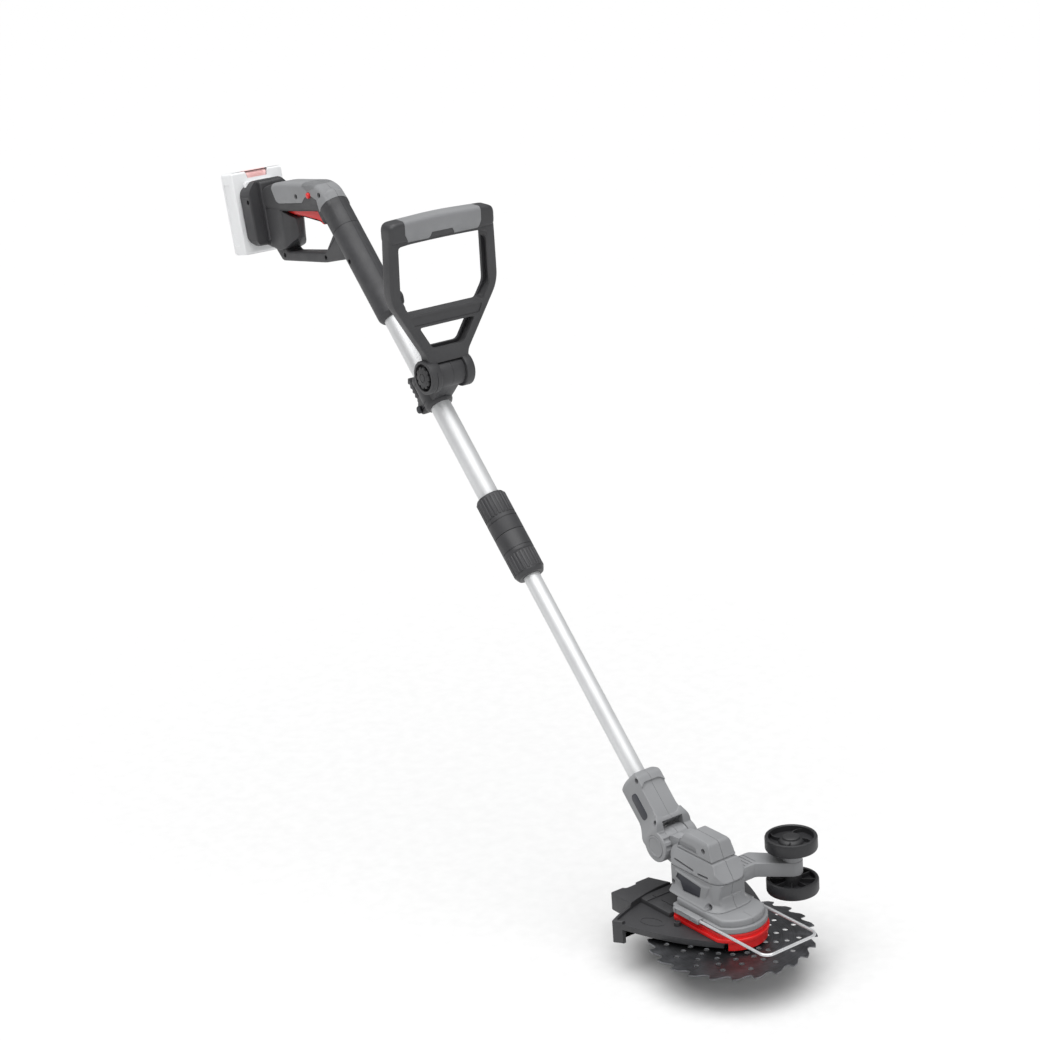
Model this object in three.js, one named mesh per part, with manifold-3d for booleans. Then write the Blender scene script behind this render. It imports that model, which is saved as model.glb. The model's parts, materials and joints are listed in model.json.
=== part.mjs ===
// Cordless brush cutter with a saw blade: rear handle, telescopic shaft, D-handle, tilting head, wheels.
// Millimetres. Working frame: blade centre at the origin, +X ahead of the operator, +Y to the
// operator's left, +Z up along the blade's axis. The finished group is moved to the grip's centre.
import * as THREE from 'three';
import { mergeVertices } from 'three/addons/utils/BufferGeometryUtils.js';
import Module from 'manifold-3d';

const wasm = await Module();
wasm.setup();

// ---- driving dimensions ----
const GAP = 0.3; // between pieces that touch
const RUN = 0.08; // radial clearance of a shaft that turns in its bore
const SPLIT = 0.15; // half the parting gap between moulded halves
const ROUND = 20; // facets of an ordinary round feature
const FINE = 32; // facets of a large round that turns in its bore
const PLAIN = 24; // facets of a large round that doesn't turn

const GRIP_CENTRE = new THREE.Vector3(-752, 0, 722); // becomes the row's origin

const SHAFT_TILT = THREE.MathUtils.degToRad(-43); // turns +Z back to the shaft's direction
const SHAFT_FOOT_X = -17.7; // where the shaft's axis meets the blade's plane
const UPPER_R = 12.5;
const UPPER_BORE = 11.2;
const LOWER_R = 10;
const LOWER_BORE = 8.8;
const UPPER_SPAN = [540, 895]; // along the shaft, measured from its foot
const LOWER_SPAN = [134, 640];

const KNUCKLE_S = 114; // head pivot, along the shaft
const KNUCKLE_R = 18;
const TONGUE_W = 13.7; // half width of the head's tongue
const FORK_W = 14; // half width of the fork's slot
const KNUCKLE_W = 24.5; // half width over the fork
const TILT_AXLE_R = 4;

const CLAMP_SPAN = [692, 736];
const BARREL_S = 712; // D-handle pivot, along the shaft
const BARREL_H = 42; // and ahead of the shaft's axis
const BARREL_R = 16.5;
const BARREL_W = 17;
const EAR_R = 20;
const EAR_W = 32;
const D_AXLE_R = 5;

const BLADE_R = 92;
const BLADE_T = 1.4;
const TEETH = 24;
const TOOTH_PHASE = 4;
const HOLES_PER_RING = 15;
const HOLE_R = 3.1;
const HOLE_RINGS = [[71.8, 23.2], [59.5, 17], [48.5, 11.8], [37.8, 8.3]]; // radius, first angle

const GEAR_MODULE = 1.25;
const PINION_TEETH = 12;
const GEAR_TEETH = 36;
const MOTOR_X = -GEAR_MODULE * (PINION_TEETH + GEAR_TEETH) / 2;
const MOTOR_R = 17.8;
const ARBOR_R = 5;

const BASE_SIDE = 34; // half width of the gearcase and the red base
const BASE_R = 39.5; // front radius of both
const BASE_REAR = -60;
const WIRE_R = 1.7;
const WIRE_Z = 30;
const WIRE_Y = 36.6;

const WHEEL_R = 28.8;
const WHEEL_W = 15.2;
const WHEEL_AT = [13.9, 77];
const UPPER_WHEEL_Z = 86.2;
const LOWER_WHEEL_Z = 35.8;
const ARM_Z = [56.7, 73.6];
const AXLE_R = 4;

const PACK_TILT = THREE.MathUtils.degToRad(-9.8);
const PACK_AT = [-862, 694];

// ---- basic solids ----
const Y_AXIS = new THREE.Vector3(0, 1, 0);

function corner(shape, before, at, after, radius, first) {
  const here = new THREE.Vector2(at[0], at[1]);
  const back = new THREE.Vector2(before[0], before[1]).sub(here);
  const ahead = new THREE.Vector2(after[0], after[1]).sub(here);
  const cut = Math.min(radius, back.length() * 0.45, ahead.length() * 0.45);
  const start = here.clone().addScaledVector(back.normalize(), cut);
  const end = here.clone().addScaledVector(ahead.normalize(), cut);
  if (first) shape.moveTo(start.x, start.y);
  else shape.lineTo(start.x, start.y);
  if (cut > 0) shape.quadraticCurveTo(here.x, here.y, end.x, end.y);
}

// A closed outline through the points; each may carry its own corner radius as a third value.
function outline(points, radius = 0) {
  const shape = new THREE.Shape();
  const count = points.length;
  points.forEach((at, i) => {
    const before = points[(i + count - 1) % count];
    corner(shape, before, at, points[(i + 1) % count], at[2] ?? radius, i === 0);
  });
  shape.closePath();
  return shape;
}

function prism(shape, z0, z1, bevel = 0) {
  const steps = bevel > 3 ? 2 : 1;
  const geometry = new THREE.ExtrudeGeometry(shape, {
    depth: z1 - z0 - 2 * bevel,
    bevelEnabled: bevel > 0,
    bevelThickness: bevel,
    bevelSize: bevel,
    bevelOffset: -bevel,
    bevelSegments: steps,
    curveSegments: 2,
  });
  return geometry.translate(0, 0, z0 + bevel);
}

// The shape's second axis becomes +Z and the body spans y0 to y1.
function sidePrism(shape, y0, y1, bevel = 0) {
  return prism(shape, -y1, -y0, bevel).rotateX(Math.PI / 2);
}

// The shape's axes become Y and Z and the body spans x0 to x1.
function frontPrism(shape, x0, x1, bevel = 0) {
  return prism(shape, x0, x1, bevel).rotateX(Math.PI / 2).rotateZ(Math.PI / 2);
}

function box(x0, x1, y0, y1, z0, z1) {
  const geometry = new THREE.BoxGeometry(x1 - x0, y1 - y0, z1 - z0);
  return geometry.translate((x0 + x1) / 2, (y0 + y1) / 2, (z0 + z1) / 2);
}

function rod(r, z0, z1, facets = ROUND) {
  const geometry = new THREE.CylinderGeometry(r, r, z1 - z0, facets);
  return geometry.rotateX(Math.PI / 2).translate(0, 0, (z0 + z1) / 2);
}

// A round bar along Y, centred on x, z.
function crossRod(r, y0, y1, x, z, facets = ROUND) {
  const geometry = new THREE.CylinderGeometry(r, r, y1 - y0, facets);
  return geometry.translate(x, (y0 + y1) / 2, z);
}

// A body of revolution about Z from a closed profile of [radius, height].
function turned(profile, facets = ROUND) {
  const points = profile.map(([r, z]) => new THREE.Vector2(r, z));
  const closed = profile[0][0] > 0;
  if (closed) points.push(points[0].clone());
  return new THREE.LatheGeometry(points, facets).rotateX(Math.PI / 2);
}

function ring(rIn, rOut, z0, z1, facets = ROUND) {
  return turned([[rIn, z0], [rOut, z0], [rOut, z1], [rIn, z1]], facets);
}

function signedVolume(positions, index) {
  const a = new THREE.Vector3();
  const b = new THREE.Vector3();
  const c = new THREE.Vector3();
  let total = 0;
  for (let i = 0; i < index.length; i += 3) {
    a.fromArray(positions, index[i] * 3);
    b.fromArray(positions, index[i + 1] * 3);
    c.fromArray(positions, index[i + 2] * 3);
    total += a.dot(b.cross(c));
  }
  return total / 6;
}

// Joins coincident corners and makes every face look outwards.
function tidyMesh(geometry) {
  const bare = new THREE.BufferGeometry();
  bare.setAttribute('position', geometry.getAttribute('position').clone());
  if (geometry.index) bare.setIndex(geometry.index.clone());
  const merged = mergeVertices(bare, 1e-4);
  const positions = merged.getAttribute('position').array;
  const kept = [];
  for (let i = 0; i < merged.index.count; i += 3) {
    const [a, b, c] = [0, 1, 2].map((k) => merged.index.getX(i + k));
    if (a !== b && b !== c && a !== c) kept.push(a, b, c);
  }
  if (signedVolume(positions, kept) < 0) kept.reverse();
  return { positions: new Float32Array(positions), triangles: new Uint32Array(kept) };
}

function solidOf(geometry) {
  const { positions, triangles } = tidyMesh(geometry);
  const mesh = new wasm.Mesh({ numProp: 3, vertProperties: positions, triVerts: triangles });
  return new wasm.Manifold(mesh);
}

function geometryOf(solid) {
  const mesh = solid.getMesh();
  const geometry = new THREE.BufferGeometry();
  geometry.setAttribute('position', new THREE.BufferAttribute(new Float32Array(mesh.vertProperties), 3));
  geometry.setIndex(new THREE.BufferAttribute(new Uint32Array(mesh.triVerts), 1));
  return geometry;
}

function join(...parts) {
  return geometryOf(parts.map(solidOf).reduce((sum, next) => sum.add(next)));
}

function cut(body, ...tools) {
  return geometryOf(tools.map(solidOf).reduce((rest, tool) => rest.subtract(tool), solidOf(body)));
}

function common(a, b) {
  return geometryOf(solidOf(a).intersect(solidOf(b)));
}

const FAR = 2000;

function rightHalf(body) {
  return common(body, box(-FAR, FAR, -FAR, -SPLIT, -FAR, FAR));
}

function leftHalf(body) {
  return common(body, box(-FAR, FAR, SPLIT, FAR, -FAR, FAR));
}

// From shaft coordinates (x ahead of the axis, z up the shaft) to the working frame.
function onShaft(geometry) {
  return geometry.rotateY(SHAFT_TILT).translate(SHAFT_FOOT_X, 0, 0);
}

function shaftPoint(s, h) {
  const point = new THREE.Vector3(h, 0, s).applyAxisAngle(Y_AXIS, SHAFT_TILT);
  return point.setX(point.x + SHAFT_FOOT_X);
}

// From pack coordinates (x towards the tool, z along the rails) to the working frame.
function onPack(geometry) {
  return geometry.rotateY(PACK_TILT).translate(PACK_AT[0], 0, PACK_AT[1]);
}

// The outline's points moved inwards by the same distance all round; outwards if it is negative.
function inset(points, by) {
  const area = points.reduce((sum, [x, y], i) => {
    const [nx, ny] = points[(i + 1) % points.length];
    return sum + x * ny - nx * y;
  }, 0);
  const inward = Math.sign(area) * by;
  return points.map((at, i) => {
    const before = points[(i + points.length - 1) % points.length];
    const after = points[(i + 1) % points.length];
    const one = new THREE.Vector2(at[0] - before[0], at[1] - before[1]).normalize();
    const two = new THREE.Vector2(after[0] - at[0], after[1] - at[1]).normalize();
    const normal = new THREE.Vector2(-one.y - two.y, one.x + two.x).normalize();
    const miter = inward / Math.max(0.3, normal.dot(new THREE.Vector2(-one.y, one.x)));
    return [at[0] + normal.x * miter, at[1] + normal.y * miter, at[2]];
  });
}

function circlePath(r, x = 0, y = 0, facets = ROUND) {
  const points = [];
  for (let i = 0; i < facets; i += 1) {
    const a = 2 * Math.PI * i / facets;
    points.push([x + r * Math.cos(a), y + r * Math.sin(a)]);
  }
  return points;
}

// A round wire of even thickness whose centre line runs through the points.
function sweptWire(points, r, facets) {
  const last = points.length - 1;
  const vertices = [];
  const index = [];
  let side = null;
  points.forEach((at, i) => {
    const before = at.clone().sub(points[Math.max(0, i - 1)]).normalize();
    const after = points[Math.min(last, i + 1)].clone().sub(at).normalize();
    const along = before.clone().add(after).normalize();
    const lean = new THREE.Vector3(Math.abs(along.x) > 0.9 ? 0 : 1, Math.abs(along.x) > 0.9 ? 1 : 0, 0);
    side = (side ?? lean).addScaledVector(along, -(side ?? lean).dot(along)).normalize();
    const up = along.clone().cross(side);
    // widen the ring across a bend, so that the wire keeps its thickness
    const turn = i > 0 && i < last ? after.clone().sub(before) : new THREE.Vector3();
    const stretch = turn.length() > 1e-6 ? 1 / Math.sqrt(Math.max(0.3, (1 + before.dot(after)) / 2)) - 1 : 0;
    turn.normalize();
    for (let k = 0; k < facets; k += 1) {
      const a = 2 * Math.PI * k / facets;
      const out = side.clone().multiplyScalar(Math.cos(a)).addScaledVector(up, Math.sin(a)).multiplyScalar(r);
      out.addScaledVector(turn, stretch * out.dot(turn)).add(at);
      vertices.push(out.x, out.y, out.z);
      const [p, q] = [i * facets + k, i * facets + (k + 1) % facets];
      if (i < last) index.push(p, q, p + facets, q, q + facets, p + facets);
    }
  });
  for (let k = 1; k < facets - 1; k += 1) {
    index.push(0, k + 1, k, last * facets, last * facets + k, last * facets + k + 1);
  }
  const geometry = new THREE.BufferGeometry();
  geometry.setAttribute('position', new THREE.Float32BufferAttribute(vertices, 3));
  geometry.setIndex(index);
  return geometry;
}

// A ribbed round bar's outline: ribs stand rOut high with valleys at rIn.
function ribbedOutline(rOut, rIn, ribs) {
  const points = [];
  for (let i = 0; i < ribs; i += 1) {
    const step = 2 * Math.PI / ribs;
    const marks = [[0, rOut], [0.55, rOut], [0.65, rIn], [0.9, rIn]];
    marks.forEach(([t, r]) => {
      const a = (i + t) * step;
      points.push([r * Math.cos(a), r * Math.sin(a)]);
    });
  }
  return outline(points);
}

// ---- screws: every one lies along Y with its head to the right ----
const SCREW_HEAD_R = 2.4;
const SCREW_SHANK_R = 1.3;
const SCREW_HEAD_T = 2;
const SCREW_FACETS = 7;

function screw(x, z, yHead, length) {
  const profile = [[0, 0], [SCREW_HEAD_R, 0], [SCREW_HEAD_R, SCREW_HEAD_T],
    [SCREW_SHANK_R, SCREW_HEAD_T + 0.6], [SCREW_SHANK_R, length - 1], [0, length]];
  return turned(profile, SCREW_FACETS).rotateX(-Math.PI / 2).translate(x, yHead, z);
}

function screwHole(x, z, yOutside, yHead, length) {
  const mouth = crossRod(SCREW_HEAD_R + GAP, yOutside, yHead + SCREW_HEAD_T + 0.9, x, z, SCREW_FACETS);
  const bore = crossRod(SCREW_SHANK_R + GAP, yHead, yHead + length + GAP, x, z, SCREW_FACETS);
  return join(mouth, bore);
}

// ---- telescopic shaft ----
function upperTube() {
  return onShaft(ring(UPPER_BORE, UPPER_R, UPPER_SPAN[0], UPPER_SPAN[1], FINE));
}

function lowerTube() {
  return onShaft(ring(LOWER_BORE, LOWER_R, LOWER_SPAN[0], LOWER_SPAN[1], FINE));
}

function guideBush() {
  return onShaft(ring(LOWER_R + RUN, UPPER_BORE - RUN, LOWER_SPAN[1] - 28, LOWER_SPAN[1] - 1, FINE));
}

const COLLAR_R = 18.7;
const COLLAR_VALLEY_R = 18;
const COLLAR_RIBS = 12;
const COLLAR_JOINT = 511.7; // where the fixed collar meets the nut
const COLLAR_TOP = 563.5;
const COLLAR_FOOT = 456.5;

function tubeLockBody() {
  const ribbed = prism(ribbedOutline(COLLAR_R, COLLAR_VALLEY_R, COLLAR_RIBS), 535, COLLAR_TOP - 2);
  const plain = turned([[0, COLLAR_JOINT + GAP], [COLLAR_R, COLLAR_JOINT + GAP], [COLLAR_R, 533.5],
    [COLLAR_VALLEY_R, 534.5], [COLLAR_VALLEY_R, COLLAR_TOP - 2], [16.5, COLLAR_TOP], [0, COLLAR_TOP]], PLAIN);
  const spigot = rod(14, 492, 520, FINE);
  const socket = rod(UPPER_R + RUN, UPPER_SPAN[0] - GAP, COLLAR_TOP + 1, FINE);
  const bore = rod(LOWER_R + 0.5, 480, 600, PLAIN);
  return onShaft(cut(join(plain, ribbed, spigot), socket, bore));
}

function collarNut() {
  const ribbed = prism(ribbedOutline(COLLAR_R, COLLAR_VALLEY_R, COLLAR_RIBS), 462.5, 485);
  const plain = turned([[0, COLLAR_FOOT], [15.5, COLLAR_FOOT], [COLLAR_VALLEY_R, 461.5],
    [COLLAR_VALLEY_R, 485.5], [COLLAR_R, 486.5], [COLLAR_R, COLLAR_JOINT], [0, COLLAR_JOINT]], PLAIN);
  const socket = rod(14 + RUN, 490, 530, FINE);
  const bore = rod(LOWER_R + 0.5, 440, 500, PLAIN);
  return onShaft(cut(join(plain, ribbed), socket, bore));
}

const COIL_R = 6.6;
const COIL_WIRE_R = 1.6;
const COIL_TURNS = 10;
const COIL_STEPS = 7; // straight pieces to a turn
const COIL_SPAN = [652, 800];

function coiledLead() {
  const points = [new THREE.Vector3(0, 0, COIL_SPAN[0] - 8), new THREE.Vector3(1, 0, COIL_SPAN[0] - 4)];
  const steps = COIL_TURNS * COIL_STEPS;
  for (let i = 0; i <= steps; i += 1) {
    const a = 2 * Math.PI * i / COIL_STEPS;
    const z = COIL_SPAN[0] + (COIL_SPAN[1] - COIL_SPAN[0]) * i / steps;
    points.push(new THREE.Vector3(COIL_R * Math.cos(a), COIL_R * Math.sin(a), z));
  }
  points.push(new THREE.Vector3(1, 0, COIL_SPAN[1] + 4), new THREE.Vector3(0, 0, COIL_SPAN[1] + 8),
    new THREE.Vector3(0, 0, 880));
  return onShaft(sweptWire(points, COIL_WIRE_R, 4));
}

// ---- clamp on the upper tube, and the D-handle it carries ----
const CLAMP_R = 17.2;
const CLAMP_LUG_S = 704;
const CLAMP_LUG_H = -23;
const CLAMP_BOLT_R = 2.5;
const LUG_IN = 5;
const LUG_OUT = 12;
const BARREL_MOUTH = 16.3; // radius of the recess round the push button
const KNOB_R = 13.2; // of the toothed push button

function clampWhole() {
  const sleeve = turned([[0, CLAMP_SPAN[0]], [CLAMP_R - 2, CLAMP_SPAN[0]], [CLAMP_R, CLAMP_SPAN[0] + 3],
    [CLAMP_R, CLAMP_SPAN[1] - 3], [CLAMP_R - 2, CLAMP_SPAN[1]], [0, CLAMP_SPAN[1]]], PLAIN);
  const barrel = crossRod(BARREL_R, -BARREL_W, BARREL_W, BARREL_H, BARREL_S, PLAIN);
  const web = sidePrism(outline([[4, CLAMP_SPAN[0] + 3], [BARREL_H - 6, BARREL_S - BARREL_R + 1],
    [BARREL_H, BARREL_S - BARREL_R + 0.3], [BARREL_H, BARREL_S + BARREL_R - 0.3], [14, CLAMP_SPAN[1] - 1],
    [4, CLAMP_SPAN[1] - 2]]), -14, 14, 1.5);
  const lugShape = outline([[-10, CLAMP_LUG_S - 11], [CLAMP_LUG_H - 1, CLAMP_LUG_S - 7],
    [CLAMP_LUG_H - 6, CLAMP_LUG_S], [CLAMP_LUG_H - 2, CLAMP_LUG_S + 7], [-10, CLAMP_LUG_S + 16]], 2);
  const lugs = [[-LUG_OUT, -LUG_IN], [LUG_IN, LUG_OUT]].map(([a, b]) => sidePrism(lugShape, a, b));
  const tube = rod(UPPER_R + RUN, CLAMP_SPAN[0] - 5, CLAMP_SPAN[1] + 5, FINE);
  const axle = crossRod(D_AXLE_R + GAP, -40, 40, BARREL_H, BARREL_S);
  const bolt = crossRod(CLAMP_BOLT_R + GAP, -40, 40, CLAMP_LUG_H, CLAMP_LUG_S, 12);
  return onShaft(cut(join(sleeve, barrel, web, ...lugs), tube, axle, bolt));
}

function clampBolt() {
  const shank = crossRod(CLAMP_BOLT_R, -LUG_OUT - 3.5, LUG_OUT + 3.5, CLAMP_LUG_H, CLAMP_LUG_S, 16);
  const ends = [[-LUG_OUT - 3.5, -LUG_OUT - GAP], [LUG_OUT + GAP, LUG_OUT + 3.5]];
  return onShaft(join(shank, ...ends.map(([a, b]) => crossRod(4.5, a, b, CLAMP_LUG_H, CLAMP_LUG_S, 16))));
}

// The quick-release lever lies under the shaft and is ribbed along its outer side.
function clampLever() {
  const halfWidth = LUG_IN - GAP;
  const eye = crossRod(5.2, -halfWidth, halfWidth, CLAMP_LUG_H, CLAMP_LUG_S);
  const arm = [[CLAMP_LUG_H - 1, CLAMP_LUG_S + 1], [CLAMP_LUG_H - 5, CLAMP_LUG_S + 1]];
  for (let i = 0; i < 6; i += 1) {
    const s = CLAMP_LUG_S + 6 + i * 6.5;
    arm.push([CLAMP_LUG_H - 7.5, s], [CLAMP_LUG_H - 9.5, s + 1.5], [CLAMP_LUG_H - 9.5, s + 3.5],
      [CLAMP_LUG_H - 7.5, s + 5]);
  }
  arm.push([CLAMP_LUG_H - 4, CLAMP_LUG_S + 46], [CLAMP_LUG_H - 2.5, CLAMP_LUG_S + 40],
    [CLAMP_LUG_H - 2.5, CLAMP_LUG_S + 20]);
  const blade = sidePrism(outline(arm), -halfWidth, halfWidth);
  const bore = crossRod(CLAMP_BOLT_R + RUN, -40, 40, CLAMP_LUG_H, CLAMP_LUG_S, 16);
  return onShaft(cut(join(eye, blade), bore));
}

function pivotAxle() {
  return onShaft(crossRod(D_AXLE_R, -24.4, 24.4, BARREL_H, BARREL_S));
}

const BARREL_AT = shaftPoint(BARREL_S, BARREL_H);
const D_DEPTH = 18; // of the frame, front to back
const D_RAIL_OUT = 73;
const D_RAIL_IN = 61;
const D_TOP = 191;
const FAR_EAR_W = 28.5; // outer face of the ear with no button
const SADDLE_CORE = 6; // half thickness of the bar inside the soft grip
const SADDLE_W = 52.4;
const SADDLE_FOOT = 167;
const SADDLE_ROOF = 181.8;
const D_LEAN = THREE.MathUtils.degToRad(2.5);

// From D-handle coordinates (z up the handle from its pivot) to the working frame.
function onHandle(geometry) {
  return geometry.rotateY(D_LEAN).translate(BARREL_AT.x, 0, BARREL_AT.z);
}

function mirrored(points) {
  return [...points, ...points.map(([y, z, r]) => [-y, z, r]).reverse()];
}

function dHandleFrame() {
  const outer = mirrored([[28, 6, 0], [28.5, 24, 5], [D_RAIL_OUT + 1, 97, 14], [D_RAIL_OUT - 0.5, 160, 30],
    [D_RAIL_OUT - 2, 187, 11], [50, D_TOP - 2.5, 60], [12, D_TOP - 3, 20]]);
  const body = frontPrism(outline(outer), -D_DEPTH / 2, D_DEPTH / 2, 2.5);
  const upper = mirrored([[50, 79, 3], [D_RAIL_IN + 1, 98, 6], [D_RAIL_IN, 160.5, 4], [46, 162, 20],
    [12, 162.5, 20]]);
  const lower = mirrored([[21.5, 35, 5], [38.5, 62.5, 4]]);
  const windows = [upper, lower].map((points) => frontPrism(outline(points), -30, 30));
  const ears = [[-EAR_W, -BARREL_W - GAP], [BARREL_W + GAP, FAR_EAR_W]];
  const earRods = ears.map(([a, b]) => crossRod(EAR_R, a, b, 0, 0, PLAIN));
  const barrelRoom = crossRod(EAR_R - 0.8, -BARREL_W - GAP, BARREL_W + GAP, 0, 0, PLAIN);
  const below = box(-30, 30, -60, 60, -60, 6);
  const seats = [
    box(SADDLE_CORE, 30, -SADDLE_W, SADDLE_W, SADDLE_FOOT - GAP, 210),
    box(-30, -SADDLE_CORE, -SADDLE_W, SADDLE_W, SADDLE_FOOT - GAP, 210),
    box(-30, 30, -SADDLE_W, SADDLE_W, SADDLE_ROOF - GAP, 210),
  ];
  const axle = crossRod(D_AXLE_R + RUN, -24.8, 24.8, 0, 0);
  const buttonRoom = crossRod(BARREL_MOUTH, -EAR_W - 1, -25.4, 0, 0);
  const frame = cut(body, ...windows, below, barrelRoom, ...seats);
  return onHandle(cut(join(frame, ...earRods), axle, buttonRoom));
}

function dHandleGrip() {
  const end = SADDLE_W - GAP;
  const arch = mirrored([[end - 5, SADDLE_FOOT], [end, SADDLE_FOOT + 7], [end, 187], [26, 190, 30],
    [6, D_TOP, 8]]);
  const outer = frontPrism(outline(arch), -12, 12, 4);
  const core = box(-SADDLE_CORE - GAP, SADDLE_CORE + GAP, -60, 60, 150, SADDLE_ROOF);
  return onHandle(cut(outer, core));
}

// The toothed push button in the right-hand ear.
function handleTiltButton() {
  const crown = sidePrism(ribbedOutline(KNOB_R, KNOB_R - 1.8, 10), -EAR_W - 0.8, -28.2);
  return onHandle(join(crown, crossRod(7, -EAR_W - 1.6, -28, 0, 0, 12)));
}

// ---- tilting joint between the shaft and the head ----
const HOUSING_W = 16.5;
const TILT_BUTTON_R = 12.7;
const TILT_ROOM_R = 13.1;

function knuckleWhole() {
  const side = sidePrism(outline([[-17.5, 128, 0], [-18, 190, 3], [-8, 196.5, 3], [14, 196.5, 3],
    [20.5, 190, 4], [20.5, 133, 3], [14, 122, 3], [0, 100, 0], [-12, 104, 0]]), -60, 60);
  const ears = crossRod(KNUCKLE_R, -KNUCKLE_W, KNUCKLE_W, 0, KNUCKLE_S, PLAIN);
  const front = frontPrism(outline(mirrored([[KNUCKLE_W, 90, 0], [KNUCKLE_W, 128, 4], [HOUSING_W, 145, 6],
    [HOUSING_W, 192, 4], [11, 197, 3]])), -60, 60);
  const body = common(join(side, ears), front);
  const slot = box(-40, 40, -FORK_W, FORK_W, 60, LOWER_SPAN[0] - 1);
  const tube = rod(LOWER_R + GAP, LOWER_SPAN[0] - 0.5, 260, PLAIN);
  const wireWay = rod(6, 120, 160, 12);
  const panel = box(19.2, 30, -HOUSING_W - 1, HOUSING_W + 1, 141, 180);
  const axle = crossRod(TILT_AXLE_R + GAP, -19, 19, 0, KNUCKLE_S);
  const room = crossRod(TILT_ROOM_R, -KNUCKLE_W - 1, -19.3, 0, KNUCKLE_S, PLAIN);
  const capMark = cut(crossRod(TILT_ROOM_R, KNUCKLE_W - 0.8, KNUCKLE_W + 1, 0, KNUCKLE_S),
    crossRod(TILT_BUTTON_R - 1, 0, 40, 0, KNUCKLE_S));
  const badge = sidePrism(outline(KNUCKLE_BADGE, KNUCKLE_BADGE_ROUND), -40, -HOUSING_W + 1.2);
  const screws = KNUCKLE_SCREWS.map(([h, s]) => screwHole(h, s, -40, KNUCKLE_SCREW_HEAD, KNUCKLE_SCREW_L));
  return cut(body, slot, tube, wireWay, panel, axle, room, capMark, badge, ...screws);
}

const KNUCKLE_BADGE = [[-8.5, 146], [4.5, 146], [4.5, 177.5], [-8.5, 177.5]];
const KNUCKLE_BADGE_ROUND = 5.5;
const KNUCKLE_SCREWS = [[16.3, 186], [16.3, 134.5]];
const KNUCKLE_SCREW_HEAD = -12;
const KNUCKLE_SCREW_L = 22;

function knuckleHousing(half) {
  return onShaft(half(knuckleWhole()));
}

function knuckleBadge() {
  const plate = outline(inset(KNUCKLE_BADGE, GAP), KNUCKLE_BADGE_ROUND - GAP);
  return onShaft(sidePrism(plate, -HOUSING_W - 0.3, -HOUSING_W + 0.9));
}

function knuckleScrew(i) {
  const [h, s] = KNUCKLE_SCREWS[i];
  return onShaft(screw(h, s, KNUCKLE_SCREW_HEAD, KNUCKLE_SCREW_L));
}

function tiltAxle() {
  return onShaft(crossRod(TILT_AXLE_R, -18.8, 18.7, 0, KNUCKLE_S));
}

function tiltButton() {
  const profile = [[0, 0], [TILT_BUTTON_R, 0], [TILT_BUTTON_R, 3], [10.4, 3], [9.8, 2.5], [0, 2.5]];
  const disc = turned(profile, PLAIN).rotateX(Math.PI / 2).translate(0, -22, KNUCKLE_S);
  return onShaft(disc);
}

// ---- cutting head ----
const PIVOT_AT = shaftPoint(KNUCKLE_S, 0);
const HEAD_W = 22;
const HEAD_FOOT = 40;
const FOOT_TOP = 52;
const FOOT_SPREAD = [1.08, 1.32]; // along X from the rear, and along Y
const GROOVE_REAR = -73; // the groove round the head stops short of its tongue
const HEAD_SCREWS = [[-70, 50, -19], [-6.5, 43, -19], [-23, 100.5, -13.5]]; // x, z, head's y
const HEAD_SCREW_L = [34, 34, 25];
const HEAD_BADGE = [[-60, 65], [-21, 60.4], [-24.4, 46.5], [-52.2, 45], [-57.3, 55.3], [-63.9, 57.6]];

// The foot spreads from the head's plan at its top to sit on the full width of the gearcase.
function headFoot() {
  const foot = prism(outline([[-76, -21, 9], [-76, 21, 9], [-10, 22.5, 14], [3, 17, 12], [5, 0, 20],
    [3, -17, 12], [-10, -22.5, 14]]), HEAD_FOOT, FOOT_TOP);
  const at = foot.getAttribute('position');
  for (let i = 0; i < at.count; i += 1) {
    if (at.getZ(i) < FOOT_TOP - 1) {
      at.setXY(i, -76 + (at.getX(i) + 76) * FOOT_SPREAD[0], at.getY(i) * FOOT_SPREAD[1]);
    }
  }
  return foot;
}

function headOuter() {
  const side = sidePrism(outline([[4, HEAD_FOOT, 0], [6, 43, 2], [2, 50, 4], [7.5, 70, 3], [0.5, 81, 3],
    [-7, 91, 0], [-16, 110.5, 4], [-54, 112, 5], [-66, 95, 4], [-74, 90, 4], [-77, 70, 4],
    [-77, HEAD_FOOT, 0]]), -60, 60);
  const front = frontPrism(outline(mirrored([[23.5, HEAD_FOOT], [23.5, 44], [HEAD_W - 0.5, 52],
    [HEAD_W + 0.5, 70], [21.4, 77], [18, 88], [16.8, 93], [15.6, 108], [12.6, 112]])), -120, 60);
  const plan = prism(outline([[-77, -22, 9], [-77, 22, 9], [-10, 24, 14], [5.5, 18, 12], [9, 0, 20],
    [5.5, -18, 12], [-10, -24, 14]]), 20, 130);
  return join(common(common(side, front), plan), headFoot());
}

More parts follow.
